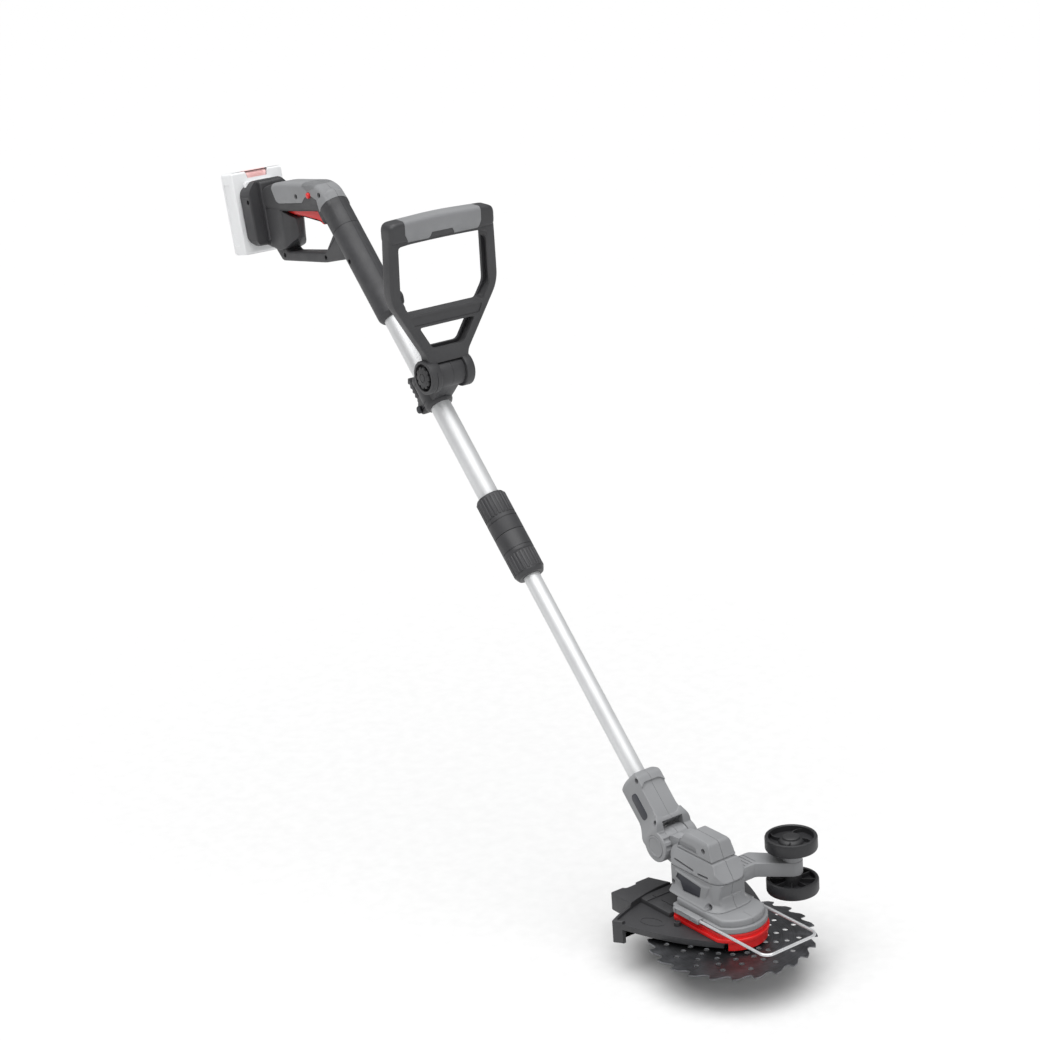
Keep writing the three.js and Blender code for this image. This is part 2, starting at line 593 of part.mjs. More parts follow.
function headWhole() {
  const tongue = sidePrism(outline([[-66, 62, 0], [-66, 100, 0], [-80, 99, 4], [-86, 95, 0], [-88, 67, 0],
    [-78, 64, 4]]), -TONGUE_W, TONGUE_W);
  const boss = crossRod(KNUCKLE_R - 1.5, -TONGUE_W, TONGUE_W, PIVOT_AT.x, PIVOT_AT.z, PLAIN);
  const axle = crossRod(TILT_AXLE_R + RUN, -40, 40, PIVOT_AT.x, PIVOT_AT.z);
  const forkRoom = [[-60, -FORK_W + 0.1], [FORK_W - 0.1, 60]].map(([a, b]) => (
    crossRod(KNUCKLE_R + 0.8, a, b, PIVOT_AT.x, PIVOT_AT.z, PLAIN)));
  const motorRoom = rod(MOTOR_R + GAP, 30, 90.5, PLAIN).translate(MOTOR_X, 0, 0);
  const shaftRoom = rod(7, 85, 96, 12).translate(MOTOR_X, 0, 0);
  const groove = grooveRound(GROOVE_REAR, 66.2, 67.6, 1.1);
  const capGroove = grooveRound(-60, 90.6, 91.6, 0.9);
  const vents = [];
  [[-62.7, -36, 78.4, 75.4], [-28, -12, 74.4, 74.4]].forEach(([x0, x1, z0, z1]) => {
    const slot = outline([[x0, z0 - 1], [x1, z1 - 1], [x1, z1 + 1], [x0, z0 + 1]]);
    vents.push(sidePrism(slot, -40, -17.5), sidePrism(slot, 17.5, 40));
  });
  const capSlot = outline([[-50, 101], [-31, 101], [-31, 104.4], [-50, 104.4]], 1);
  const capSlots = [sidePrism(capSlot, -40, -15.4), sidePrism(capSlot, 15.4, 40)];
  const badge = sidePrism(outline(HEAD_BADGE, 1), -40, -20.2);
  const screws = HEAD_SCREWS.map(([x, z, y], i) => screwHole(x, z, -40, y, HEAD_SCREW_L[i]));
  const armSeat = box(-31.4 - GAP, -4.4 + GAP, HEAD_W - 1.5, 60, ARM_Z[0] - GAP, ARM_Z[1] + GAP);
  const body = join(headOuter(), tongue, boss);
  return cut(body, axle, ...forkRoom, motorRoom, shaftRoom, groove, capGroove, ...vents, ...capSlots, badge,
    ...screws, armSeat);
}

// What a shallow groove round the head takes away, ahead of xRear and between two heights.
function grooveRound(xRear, z0, z1, depth) {
  const core = common(headInset(depth), box(-90, 20, -40, 40, z0 - 4, z1 + 4));
  return cut(box(xRear, 20, -40, 40, z0, z1), core);
}

// The head's outside drawn in by a small depth.
function headInset(depth) {
  const shrink = new THREE.Vector3(1 - depth / 42, 1 - depth / HEAD_W, 1);
  return headOuter().translate(36, 0, 0).scale(shrink.x, shrink.y, shrink.z).translate(-36, 0, 0);
}

function headBadge() {
  return sidePrism(outline(inset(HEAD_BADGE, GAP), 1), -21.6, -20.5);
}

function headScrew(i) {
  const [x, z, y] = HEAD_SCREWS[i];
  return screw(x, z, y, HEAD_SCREW_L[i]);
}

// D-shaped plan shared by the gearcase and the red base: straight sides, round front.
function basePlan(side, radius, rear, rearRadius = 6) {
  const points = [[rear, -side, rearRadius]];
  const start = Math.asin(side / radius);
  const steps = 12;
  for (let i = 0; i <= steps; i += 1) {
    const a = -start + 2 * start * i / steps;
    points.push([radius * Math.cos(a), radius * Math.sin(a)]);
  }
  points.push([rear, side, rearRadius]);
  return outline(points);
}

const CASE_Z = [25, 39.6];
const CASE_STEP = 31.5;

function gearcase() {
  const rim = prism(basePlan(BASE_SIDE, BASE_R, BASE_REAR), CASE_Z[0], CASE_STEP, 1);
  const crown = prism(basePlan(30.5, 36, BASE_REAR + 3), CASE_STEP - 2, CASE_Z[1], 1.6);
  const clips = [-1, 1].flatMap((side) => [-46, -14].map((x) => {
    const inner = side * (BASE_SIDE - 2);
    const outer = side * (WIRE_Y + WIRE_R + 1.5);
    return box(x - 4, x + 4, Math.min(inner, outer), Math.max(inner, outer), WIRE_Z - 3.4, WIRE_Z + 3);
  }));
  const wires = [-WIRE_Y, WIRE_Y].map((y) => rod(WIRE_R + RUN, -100, 60, 12).rotateY(Math.PI / 2)
    .translate(0, y, WIRE_Z));
  const gearRoom = rod(25.2, 20, 35, PLAIN);
  const pinionRoom = rod(9.6, 20, 37, 16).translate(MOTOR_X, 0, 0);
  const shaftWay = rod(3.2, 20, 60, 10).translate(MOTOR_X, 0, 0);
  const bearingSeat = rod(9, 30, 38.6);
  return cut(join(rim, crown, ...clips), ...wires, gearRoom, pinionRoom, shaftWay, bearingSeat);
}

const SKIRT_FOOT = 5.5;
const RED_FOOT = 15;
const RED_TOP = 24.7;

function redBase() {
  const wall = prism(basePlan(BASE_SIDE, BASE_R - 0.5, BASE_REAR + 1), RED_FOOT, RED_TOP);
  const skirtBand = cut(rod(BASE_R - 0.5, SKIRT_FOOT, RED_TOP, FINE),
    rod(BASE_R - 3.5, SKIRT_FOOT - 1, RED_FOOT + 0.5, FINE));
  const ahead = box(24, 60, -30.5, 30.5, 0, 40);
  const skirt = common(skirtBand, ahead);
  const hollow = prism(basePlan(BASE_SIDE - 3, BASE_R - 3.5, BASE_REAR + 4), RED_FOOT - 1, RED_TOP - 3);
  const boss = rod(15, RED_FOOT + 0.5, RED_TOP - 1);
  const seat = rod(11 + GAP, 10, 22);
  const bore = rod(ARBOR_R + 1, 5, 40);
  return cut(join(cut(join(wall, skirt), hollow), boss), seat, bore);
}

// ---- motor and drive ----
const CAN_Z = [41, 89];

function motorCan() {
  const outside = turned([[0, CAN_Z[0]], [MOTOR_R, CAN_Z[0]], [MOTOR_R, CAN_Z[1] - 2],
    [MOTOR_R - 2, CAN_Z[1]], [0, CAN_Z[1]]], PLAIN);
  const inside = rod(MOTOR_R - 1.5, CAN_Z[0] + 2, CAN_Z[1] - 2.5);
  const shaft = rod(2.5 + RUN, 0, 120);
  const mouths = [rod(6, CAN_Z[0] - 1, CAN_Z[0] + 1)];
  const airWays = [0, 1, 2].map((i) => box(9, 15, -2.5, 2.5, 80, 100).rotateZ(i * 2 * Math.PI / 3));
  return cut(outside, inside, shaft, ...mouths, ...airWays).translate(MOTOR_X, 0, 0);
}

function motorRotor() {
  const core = prism(ribbedOutline(14, 12, 8), 50, 76);
  const windings = rod(10.5, 46, 80);
  const commutator = rod(5, 79, 84);
  const shaft = rod(2.5, 27.6, 91);
  return join(core, windings, commutator, shaft).translate(MOTOR_X, 0, 0);
}

const PRESSURE = THREE.MathUtils.degToRad(20);
const BACKLASH = 0.14; // taken off each side of a tooth, in mm at the pitch circle

// Outline of a spur gear with involute flanks; the first tooth points along the given angle.
function gearOutline(teeth, tipAdd, rootCut, firstAt) {
  const pitchR = GEAR_MODULE * teeth / 2;
  const baseR = pitchR * Math.cos(PRESSURE);
  const tipR = pitchR + tipAdd;
  const rootR = pitchR - rootCut;
  const involute = (r) => {
    const angle = Math.acos(Math.min(1, baseR / r));
    return Math.tan(angle) - angle;
  };
  const halfPitch = Math.PI / 2 / teeth - BACKLASH / pitchR;
  const halfAt = (r) => halfPitch + involute(pitchR) - involute(Math.max(r, baseR));
  const levels = [rootR, pitchR, tipR];
  const points = [];
  for (let i = 0; i < teeth; i += 1) {
    const middle = firstAt + 2 * Math.PI * i / teeth;
    levels.forEach((r) => points.push([r, middle - halfAt(r)]));
    [...levels].reverse().forEach((r) => points.push([r, middle + halfAt(r)]));
  }
  return outline(points.map(([r, a]) => [r * Math.cos(a), r * Math.sin(a)]));
}

function pinion() {
  const gap = Math.PI / PINION_TEETH;
  const teeth = prism(gearOutline(PINION_TEETH, 0.95, 1.3, gap), 27.8, 35.4);
  return cut(teeth, rod(2.5 + 0.05, 20, 60)).translate(MOTOR_X, 0, 0);
}

function spurGear() {
  const teeth = prism(gearOutline(GEAR_TEETH, 0.9, 1.4, Math.PI), 28, 34);
  const hub = rod(10, 26.8, 34.2);
  return cut(join(teeth, hub), rod(ARBOR_R + 0.05, 20, 60));
}

function arbor() {
  return turned([[0, -13], [ARBOR_R, -13], [ARBOR_R, 1], [14, 1], [14, 4.4], [7, 4.4], [7, 14.8],
    [ARBOR_R, 14.8], [ARBOR_R, 34.8], [4, 34.8], [4, 38.4], [0, 38.4]]);
}

function bearing(inner, outer, z0, z1) {
  return ring(inner, outer, z0, z1);
}

function blade() {
  const points = [];
  const pitch = 2 * Math.PI / TEETH;
  // tip, flat back of the tooth, run down to the rounded gullet, raked face
  const tooth = [[0, BLADE_R], [0.3, BLADE_R - 1.2], [0.55, BLADE_R - 5.4], [0.78, BLADE_R - 7.6],
    [0.96, BLADE_R - 6]];
  for (let i = 0; i < TEETH; i += 1) {
    const first = THREE.MathUtils.degToRad(TOOTH_PHASE) + i * pitch;
    tooth.forEach(([t, r]) => {
      points.push([r * Math.cos(first + t * pitch), r * Math.sin(first + t * pitch)]);
    });
  }
  const shape = outline(points);
  HOLE_RINGS.forEach(([r, phase]) => {
    for (let i = 0; i < HOLES_PER_RING; i += 1) {
      const a = THREE.MathUtils.degToRad(phase) + 2 * Math.PI * i / HOLES_PER_RING;
      shape.holes.push(new THREE.Path(circlePath(HOLE_R, r * Math.cos(a), r * Math.sin(a), 6)
        .map(([x, y]) => new THREE.Vector2(x, y))));
    }
  });
  shape.holes.push(new THREE.Path(circlePath(ARBOR_R + 0.05).map(([x, y]) => new THREE.Vector2(x, y))));
  return prism(shape, -BLADE_T / 2, BLADE_T / 2);
}

function clampWasher() {
  return turned([[ARBOR_R + 0.05, -1], [13, -1], [13, -2.4], [10, -4], [ARBOR_R + 0.05, -4]]);
}

function bladeNut() {
  const hex = prism(outline(circlePath(9.2, 0, 0, 6)), -10.6, -4.3, 0.8);
  return cut(hex, rod(ARBOR_R + 0.05, -20, 0));
}

// ---- guards ----
const GUARD_Z = [12, 14.7];
const GUARD_WALL = 3.8;
const GUARD_HEEL_X = -84; // ahead of this the guard has a low lip in place of its outer wall
const GUARD_HALF = [[23.5, 30], [13, 38], [-16, 58], [-52, 74], [-84, 84], [-94, 91], [-101, 77],
  [-110, 52], [-116, 28], [-118.5, 8]]; // plan of one side, from the tip round the heel to the rear
const SPINE_REAR = -114;
const SPINE_W = 37;

function bladeGuard() {
  const whole = [...GUARD_HALF, ...GUARD_HALF.map(([x, y]) => [x, -y]).reverse()];
  const plate = prism(outline(whole), GUARD_Z[0], GUARD_Z[1]);
  const skirt = prism(outline(whole), -9, 17.5);
  const inside = () => prism(outline(inset(whole, GUARD_WALL)), -10, 30);
  const outerWall = cut(skirt, inside(), box(GUARD_HEEL_X, 60, -100, 100, -20, 30));
  const lipBand = cut(prism(outline(whole), 7.5, GUARD_Z[1]), prism(outline(inset(whole, 2.6)), 0, 20));
  const lips = [[-90, -30], [30, 90]].map(([a, b]) => (
    common(lipBand, box(GUARD_HEEL_X - 1.6, 22, a, b, 0, 20))));
  const blockPlan = outline([[-141, -55], [-95, -55], [-105, 10], [-112, 10], [-141, -1], [-141, -20],
    [-137.5, -22], [-137.5, -36], [-141, -38]], 1.5);
  const bulk = cut(prism(blockPlan, 0, 22), inside());
  const spine = box(SPINE_REAR, BASE_REAR - 0.5, -SPINE_W, SPINE_W, GUARD_Z[0], 20);
  const posts = [-42, 42].map((y) => rod(3.6, GUARD_Z[0], 19).translate(-41, y, 0));
  const spineHollow = box(SPINE_REAR + 3.5, BASE_REAR - 3, -SPINE_W + 2.5, SPINE_W - 2.5, 8, 17.5);
  const hollowPlan = outline([[-138, -52], [-121, -52], [-121, 1], [-138, -5]]);
  const blockHollow = prism(hollowPlan, -5, 19.5);
  const arborWay = rod(18, 0, 30);
  const ribs = [-26, 0, 26].map((y) => (
    box(SPINE_REAR + 1, BASE_REAR - 1, y - 0.9, y + 0.9, GUARD_Z[0], 18.5)));
  const solid = join(plate, outerWall, ...lips, bulk, spine, ...posts);
  return join(cut(solid, spineHollow, blockHollow, arborWay), ...ribs);
}

function wireGuard() {
  const front = 98;
  const bend = 10;
  const half = [[-52, WIRE_Y]];
  for (let i = 0; i <= 5; i += 1) {
    const a = Math.PI / 2 * (1 - i / 5);
    half.push([front - bend + bend * Math.cos(a), WIRE_Y - bend + bend * Math.sin(a)]);
  }
  const path = [...half, ...half.map(([x, y]) => [x, -y]).reverse()];
  return sweptWire(path.map(([x, y]) => new THREE.Vector3(x, y, WIRE_Z)), WIRE_R, 12);
}

// ---- wheels ----
function wheelArm() {
  const [wx, wy] = WHEEL_AT;
  const endR = 11.8;
  const turn = THREE.MathUtils.degToRad(39);
  const side = [endR * Math.cos(turn), -endR * Math.sin(turn)];
  const points = [[-31.4, HEAD_W - 1.2], [-4.4, HEAD_W - 1.2], [-4.4, 41, 6], [wx + side[0], wy + side[1]]];
  for (let i = 1; i < 10; i += 1) {
    const a = -turn + Math.PI * i / 10;
    points.push([wx + endR * Math.cos(a), wy + endR * Math.sin(a)]);
  }
  points.push([wx - side[0], wy - side[1]], [-31.4, 53, 8]);
  const beam = prism(outline(points), ARM_Z[0], ARM_Z[1], 1.2);
  const bosses = rod(9, LOWER_WHEEL_Z + WHEEL_W + GAP, UPPER_WHEEL_Z - GAP).translate(wx, wy, 0);
  const grooves = [27.5, 32.5, 37.5, 42.5].map((y) => box(-40, 20, y, y + 1.6, ARM_Z[1] - 1, ARM_Z[1] + 5));
  return cut(join(beam, bosses), ...grooves, rod(AXLE_R + GAP, 0, 120).translate(wx, wy, 0));
}

function wheel() {
  const rim = turned([[24.6, 0], [WHEEL_R - 1.4, 0], [WHEEL_R, 1.4], [WHEEL_R, WHEEL_W - 1.4],
    [WHEEL_R - 1.4, WHEEL_W], [24.6, WHEEL_W]], PLAIN);
  const web = ring(9, 25, 5, 7.4);
  const hub = ring(AXLE_R + RUN, 10, 0.4, 12.8);
  const spokes = [0, 1, 2, 3].map((i) => box(9, 25, -1.9, 1.9, 2.4, 13.6).rotateZ(i * Math.PI / 2 + 0.5));
  return join(rim, web, hub, ...spokes);
}

function wheelAxle() {
  const top = UPPER_WHEEL_Z + WHEEL_W;
  return turned([[0, LOWER_WHEEL_Z - 2.6], [6.6, LOWER_WHEEL_Z - 2.6], [6.6, LOWER_WHEEL_Z + 0.1],
    [AXLE_R, LOWER_WHEEL_Z + 0.1], [AXLE_R, top - 2], [9, top - 2], [9, top - 0.6], [8.4, top], [0, top]])
    .translate(WHEEL_AT[0], WHEEL_AT[1], 0);
}

// ---- rear handle ----
const HOUSING_R = 17.8;
const HOUSING_SPAN = [817, 1001];
const GRIP_W = 16;
const SEAM_S = 985;
const TRIGGER_W = 6.8;
const LOCK_AT = [-720, 731];
const LOCK_R = 3.6;
const STRAP_HOLE_R = 4.4;
const HANDLE_SCREWS = [[-751, 726], [-696, 734], [-800, 645.5], [-701, 656], [-636, 661],
  [-845, 710]]; // x, z
const HANDLE_SCREW_Y = [-12.5, -12.5, -8, -8, -13, -27];
const HANDLE_SCREW_L = [22, 22, 17, 17, 24, 12];
const GRIP_SIDE = [[-838, 700.5, 9], [-838, 727, 10], [-800, 738.5, 30], [-713, 747.5, 12], [-694, 743, 12],
  [-670, 721, 10], [-694, 698, 0], [-706, 712.5, 0], [-806, 700.5, 0]];
const CORE_SIDE = [[-838, 706, 0], [-838, 724, 6], [-800, 735.6, 30], [-714, 744.6, 12], [-696, 740.4, 12],
  [-673, 719, 0], [-694, 704, 0], [-706, 716, 0], [-806, 706, 0]];

// The electronics box below the grip: its side, its plan, and the side of the room inside it.
const BOX_W = 15;
const NECK_W = 16.6; // half width of the band between the box and the battery dock
const BOX_SIDE = [[-842, 700, 0], [-842, 655, 5], [-803, 651, 6], [-789, 657, 4], [-771, 672, 5],
  [-774, 695, 2], [-792, 703, 0], [-800, 708, 0]];
const BOX_PLAN = [[-850, -BOX_W, 0], [-791, -BOX_W, 4], [-779, -10, 4], [-771, -3, 4], [-771, 3, 4],
  [-779, 10, 4], [-791, BOX_W, 4], [-850, BOX_W, 0]];
const BOX_ROOM_SIDE = [[-830, 697], [-830, 660], [-803, 657], [-792, 661.5], [-777, 675], [-779, 691],
  [-792, 697]];

function softRegion() {
  const seamLow = shaftPoint(SEAM_S, -11);
  const seamHigh = shaftPoint(SEAM_S, 34);
  return [[-806, 765], [-810, 729], [-801, 714.5], [-794, 712.2], [-738, 719.5], [-730, 727],
    [-718, 731.5], [-703, 727], [seamLow.x, seamLow.z], [seamHigh.x, seamHigh.z], [-668, 765]];
}

function handleOuter() {
  const grip = sidePrism(outline(GRIP_SIDE), -GRIP_W, GRIP_W, 5);
  const housing = onShaft(turned([[0, HOUSING_SPAN[0]], [HOUSING_R - 3, HOUSING_SPAN[0]],
    [HOUSING_R, HOUSING_SPAN[0] + 5], [HOUSING_R, HOUSING_SPAN[1] - 6], [HOUSING_R - 5, HOUSING_SPAN[1]],
    [0, HOUSING_SPAN[1]]], PLAIN));
  const bow = sidePrism(outline([[-838, 664, 0], [-822, 651, 0], [-807, 637.5, 4], [-704, 649, 5],
    [-654, 660, 0], [-642, 670, 0], [-678, 690, 0], [-701, 662.5, 5], [-790, 651, 4], [-801, 658, 3],
    [-806, 668, 0]]), -11, 11, 2);
  const boxSide = sidePrism(outline(BOX_SIDE), -BOX_W, BOX_W, 2.5);
  const electronics = common(boxSide, prism(outline(BOX_PLAN), 600, 760));
  const neck = onPack(sidePrism(outline([[10, -39, 4], [33, -38, 3], [34, 0, 6], [33, 36, 4],
    [12, 37.5, 4]]), -NECK_W, NECK_W, 2));
  const dockSide = sidePrism(outline([[0, -33, 4], [0, 30, 4], [11, 38, 4], [25, 39, 4], [25, -43, 4],
    [14, -43, 4]]), -31, 31, 2);
  const dockFront = frontPrism(outline(mirrored([[31, -37, 4], [31, 25, 8], [17, 40, 8]]).concat(
    [[-25, -44, 4], [25, -44, 4]])), -5, 30);
  const flange = onPack(common(dockSide, dockFront));
  const eye = onShaft(sidePrism(outline([[14, 822, 0], [14, 842, 0], [30, 839, 4], [36, 832, 3],
    [36.5, 826, 3], [31, 818, 3]]), -3, 3, 0.6));
  return join(grip, housing, bow, electronics, neck, flange, eye);
}

function handleWhole() {
  const core = common(sidePrism(outline(CORE_SIDE), -13, 13, 3), handleOuter());
  const tubeCore = common(onShaft(rod(14.8, SEAM_S - 10, 998, PLAIN)), handleOuter());
  const softSolid = sidePrism(outline(softRegion()), -60, 60);
  const outer = join(cut(handleOuter(), softSolid), core, tubeCore);
  const tubeSeat = onShaft(rod(UPPER_R + GAP, 800, UPPER_SPAN[1] + GAP, PLAIN));
  const wireWay = onShaft(rod(9.5, UPPER_SPAN[1] - 1, 985, 12));
  const gripRoom = sidePrism(outline([[-812, 708], [-812, 725], [-716, 738], [-704, 722], [-716, 712]]),
    -10.3, 10.3);
  const slot = sidePrism(outline([[-809, 698.4], [-752, 697.4], [-745, 690], [-690, 688], [-688, 708],
    [-694, 724], [-809, 712]]), -TRIGGER_W - 0.5, TRIGGER_W + 0.5);
  const boxRoom = common(sidePrism(outline(BOX_ROOM_SIDE), -BOX_W + 3, BOX_W - 3),
    prism(outline(inset(BOX_PLAN, 3)), 600, 760));
  const hollow = join(gripRoom, tubeSeat, wireWay);
  const bosses = [HANDLE_SCREWS[0], HANDLE_SCREWS[4]].map(([x, z]) => crossRod(4, -12, 12, x, z, 12));
  const bossed = join(cut(outer, hollow, boxRoom), ...bosses);
  const rails = onPack(join(box(-2, 5.9, -20, 20, -26, 90), box(5.2, 10.9, -25, 25, -26, 90),
    box(10, 17.4, -15, 15, -24, 20)));
  const lock = crossRod(LOCK_R + RUN, -40, 15.6, LOCK_AT[0], LOCK_AT[1]);
  const eyeHole = onShaft(crossRod(STRAP_HOLE_R, -10, 10, 29, 830, 12));
  const screws = HANDLE_SCREWS.map(([x, z], i) => screwHole(x, z, -60, HANDLE_SCREW_Y[i], HANDLE_SCREW_L[i]));
  return cut(bossed, slot, rails, lock, eyeHole, ...screws);
}

function gripCover() {
  const softSolid = sidePrism(outline(inset(softRegion(), GAP)), -60, 60);
  const core = sidePrism(outline(inset(CORE_SIDE, -GAP)), -13 - GAP, 13 + GAP, 2.6);
  const tubeCore = onShaft(rod(14.8 + GAP, SEAM_S - 40, 998 + GAP, PLAIN));
  const lock = crossRod(LOCK_R + 0.6, -40, 40, LOCK_AT[0], LOCK_AT[1], 12);
  const screws = HANDLE_SCREWS.slice(0, 2).map(([x, z]) => (
    crossRod(SCREW_HEAD_R + GAP, -40, 0, x, z, SCREW_FACETS)));
  return cut(common(handleOuter(), softSolid), core, tubeCore, lock, ...screws);
}

function handleScrew(i) {
  const [x, z] = HANDLE_SCREWS[i];
  return screw(x, z, HANDLE_SCREW_Y[i], HANDLE_SCREW_L[i]);
}

function trigger() {
  const side = outline([[-807, 699.6, 2], [-716, 698.5, 4], [-706.5, 695, 2], [-700, 697, 2], [-704, 707, 0],
    [-716, 711, 0], [-800, 707.5, 3], [-807, 706, 2]]);
  return sidePrism(side, -TRIGGER_W, TRIGGER_W, 1);
}

function powerSwitch() {
  return join(box(-791, -758, -8, 8, 717, 727), box(-786, -781, -3, 3, 713.5, 718));
}

function lockOffButton() {
  return sidePrism(outline(circlePath(LOCK_R, LOCK_AT[0], LOCK_AT[1])), -18.6, 11.5, 0.8);
}

// ---- battery ----
const PACK_SPAN = [-52, 51.5];

function batteryCase() {
  const plan = outline([[-46, -18], [-46, 18], [-39, 31], [-26, 36.5], [-GAP, 36.5], [-GAP, -36.5],
    [-26, -36.5], [-39, -31]]);
  const body = prism(plan, PACK_SPAN[0], PACK_SPAN[1], 3.5);
  const neck = box(-2, 6, -19.5, 19.5, -25, 38);
  const rail = box(5.6, 10.4, -24.5, 24.5, -25, 38);
  const pocket = box(-20, 5, -15, 15, 38.5, 60);
  return onPack(cut(join(body, neck, rail), pocket));
}

function batteryLatch() {
  const side = outline([[-19.6, 42, 0], [-19.6, 50.5, 2], [-6, 52.5, 3], [-1, 47, 2], [-1, 42, 0]]);
  return onPack(sidePrism(side, -14.6, 14.6));
}

function batteryTerminals() {
  const prongs = [-9, -3, 3, 9].map((y) => box(11.2, 12.4, y - 0.8, y + 0.8, -18, 10));
  return onPack(join(box(12, 17, -14.6, 14.6, -23, 19), ...prongs));
}

// ---- materials ----
const FINISHES = {
  grey: { color: 0x8f9092, roughness: 0.55, metalness: 0 },
  softGrey: { color: 0x8a8b8d, roughness: 0.75, metalness: 0 },
  black: { color: 0x38383a, roughness: 0.55, metalness: 0 },
  dark: { color: 0x232325, roughness: 0.6, metalness: 0 },
  red: { color: 0xd5201c, roughness: 0.4, metalness: 0 },
  tube: { color: 0xc6c8ca, roughness: 0.35, metalness: 0.9 },
  steel: { color: 0xb9bbbd, roughness: 0.3, metalness: 1 },
  bladeSteel: { color: 0x55565a, roughness: 0.4, metalness: 0.9 },
  darkSteel: { color: 0x3b3c3e, roughness: 0.45, metalness: 0.9 },
  brass: { color: 0xb08d46, roughness: 0.35, metalness: 1 },
  palePack: { color: 0xd9dadb, roughness: 0.5, metalness: 0 },
  palePink: { color: 0xefb9b7, roughness: 0.5, metalness: 0 },
};

const PIECES = {
  rear_handle_right: [() => rightHalf(handleWhole()), 'black'],
  rear_handle_left: [() => leftHalf(handleWhole()), 'black'],
  rear_grip_cover: [gripCover, 'softGrey'],
  power_switch: [powerSwitch, 'dark'],
  battery_terminals: [batteryTerminals, 'dark'],
  trigger: [trigger, 'red'],
  lock_off_button: [lockOffButton, 'red'],
  battery_case: [batteryCase, 'palePack'],
  battery_latch: [batteryLatch, 'palePink'],
  upper_tube: [upperTube, 'tube'],
  coiled_lead: [coiledLead, 'dark'],
  tube_lock_body: [tubeLockBody, 'black'],
  collar_nut: [collarNut, 'black'],
  guide_bush: [guideBush, 'dark'],
  lower_tube: [lowerTube, 'tube'],
  clamp_half_right: [() => rightHalf(clampWhole()), 'black'],
  clamp_half_left: [() => leftHalf(clampWhole()), 'black'],
  clamp_bolt: [clampBolt, 'darkSteel'],
  clamp_lever: [clampLever, 'black'],
  handle_pivot_axle: [pivotAxle, 'darkSteel'],
  d_handle_frame: [dHandleFrame, 'black'],
  d_handle_grip: [dHandleGrip, 'softGrey'],
  handle_tilt_button: [handleTiltButton, 'dark'],
  knuckle_housing_right: [() => knuckleHousing(rightHalf), 'grey'],
  knuckle_housing_left: [() => knuckleHousing(leftHalf), 'grey'],
  knuckle_badge: [knuckleBadge, 'dark'],
  head_tilt_axle: [tiltAxle, 'darkSteel'],
  head_tilt_button: [tiltButton, 'grey'],
  head_housing_right: [() => rightHalf(headWhole()), 'grey'],
  head_housing_left: [() => leftHalf(headWhole()), 'grey'],
  head_badge: [headBadge, 'dark'],
  gearcase: [gearcase, 'grey'],
  red_base: [redBase, 'red'],
  blade_guard: [bladeGuard, 'black'],
  motor_can: [motorCan, 'steel'],
  motor_rotor: [motorRotor, 'darkSteel'],
  pinion: [pinion, 'brass'],
  spur_gear: [spurGear, 'steel'],
  arbor: [arbor, 'steel'],
  bearing_upper: [() => bearing(4 + RUN, 8.9, 35.6, 38.4), 'steel'],
  bearing_lower: [() => bearing(ARBOR_R + RUN, 11, 15.2, 21.6), 'steel'],
  blade: [blade, 'bladeSteel'],
  clamp_washer: [clampWasher, 'steel'],
  blade_nut: [bladeNut, 'steel'],
  wire_guard: [wireGuard, 'steel'],
  wheel_arm: [wheelArm, 'grey'],
  wheel_axle: [wheelAxle, 'dark'],
  wheel_upper: [() => wheel().translate(WHEEL_AT[0], WHEEL_AT[1], UPPER_WHEEL_Z), 'dark'],
  wheel_lower: [() => wheel().translate(WHEEL_AT[0], WHEEL_AT[1], LOWER_WHEEL_Z), 'dark'],
};

HANDLE_SCREWS.forEach((_, i) => {
  PIECES[`handle_screw_${i + 1}`] = [() => handleScrew(i), 'darkSteel'];
});
KNUCKLE_SCREWS.forEach((_, i) => {
  PIECES[`knuckle_screw_${i + 1}`] = [() => knuckleScrew(i), 'darkSteel'];
});
HEAD_SCREWS.forEach((_, i) => {
  PIECES[`head_screw_${i + 1}`] = [() => headScrew(i), 'darkSteel'];
});

const cutter = new THREE.Group();
cutter.name = 'brush_cutter';
Object.entries(PIECES).forEach(([name, [make, finish]]) => {
  const { positions, triangles } = tidyMesh(make());
  const geometry = new THREE.BufferGeometry();
  geometry.setAttribute('position', new THREE.BufferAttribute(positions, 3));
  geometry.setIndex(new THREE.BufferAttribute(triangles, 1));
  geometry.translate(-GRIP_CENTRE.x, -GRIP_CENTRE.y, -GRIP_CENTRE.z);
  geometry.computeVertexNormals();
  const mesh = new THREE.Mesh(geometry, new THREE.MeshStandardMaterial(FINISHES[finish]));
  mesh.name = name;
  cutter.add(mesh);
});

export default cutter;
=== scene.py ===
# Looks of a cordless brush cutter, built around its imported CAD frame. Blender 4.5.
# Shapes are made in millimetres in the cutter's own frame: blade centre at the origin, +X ahead of the
# operator, +Y to the operator's left, +Z up along the blade's axis. Each is then scaled to metres and
# set down at the blade's place in the CAD frame.
import json
import math

import bmesh
import bpy
from mathutils import Matrix, Vector

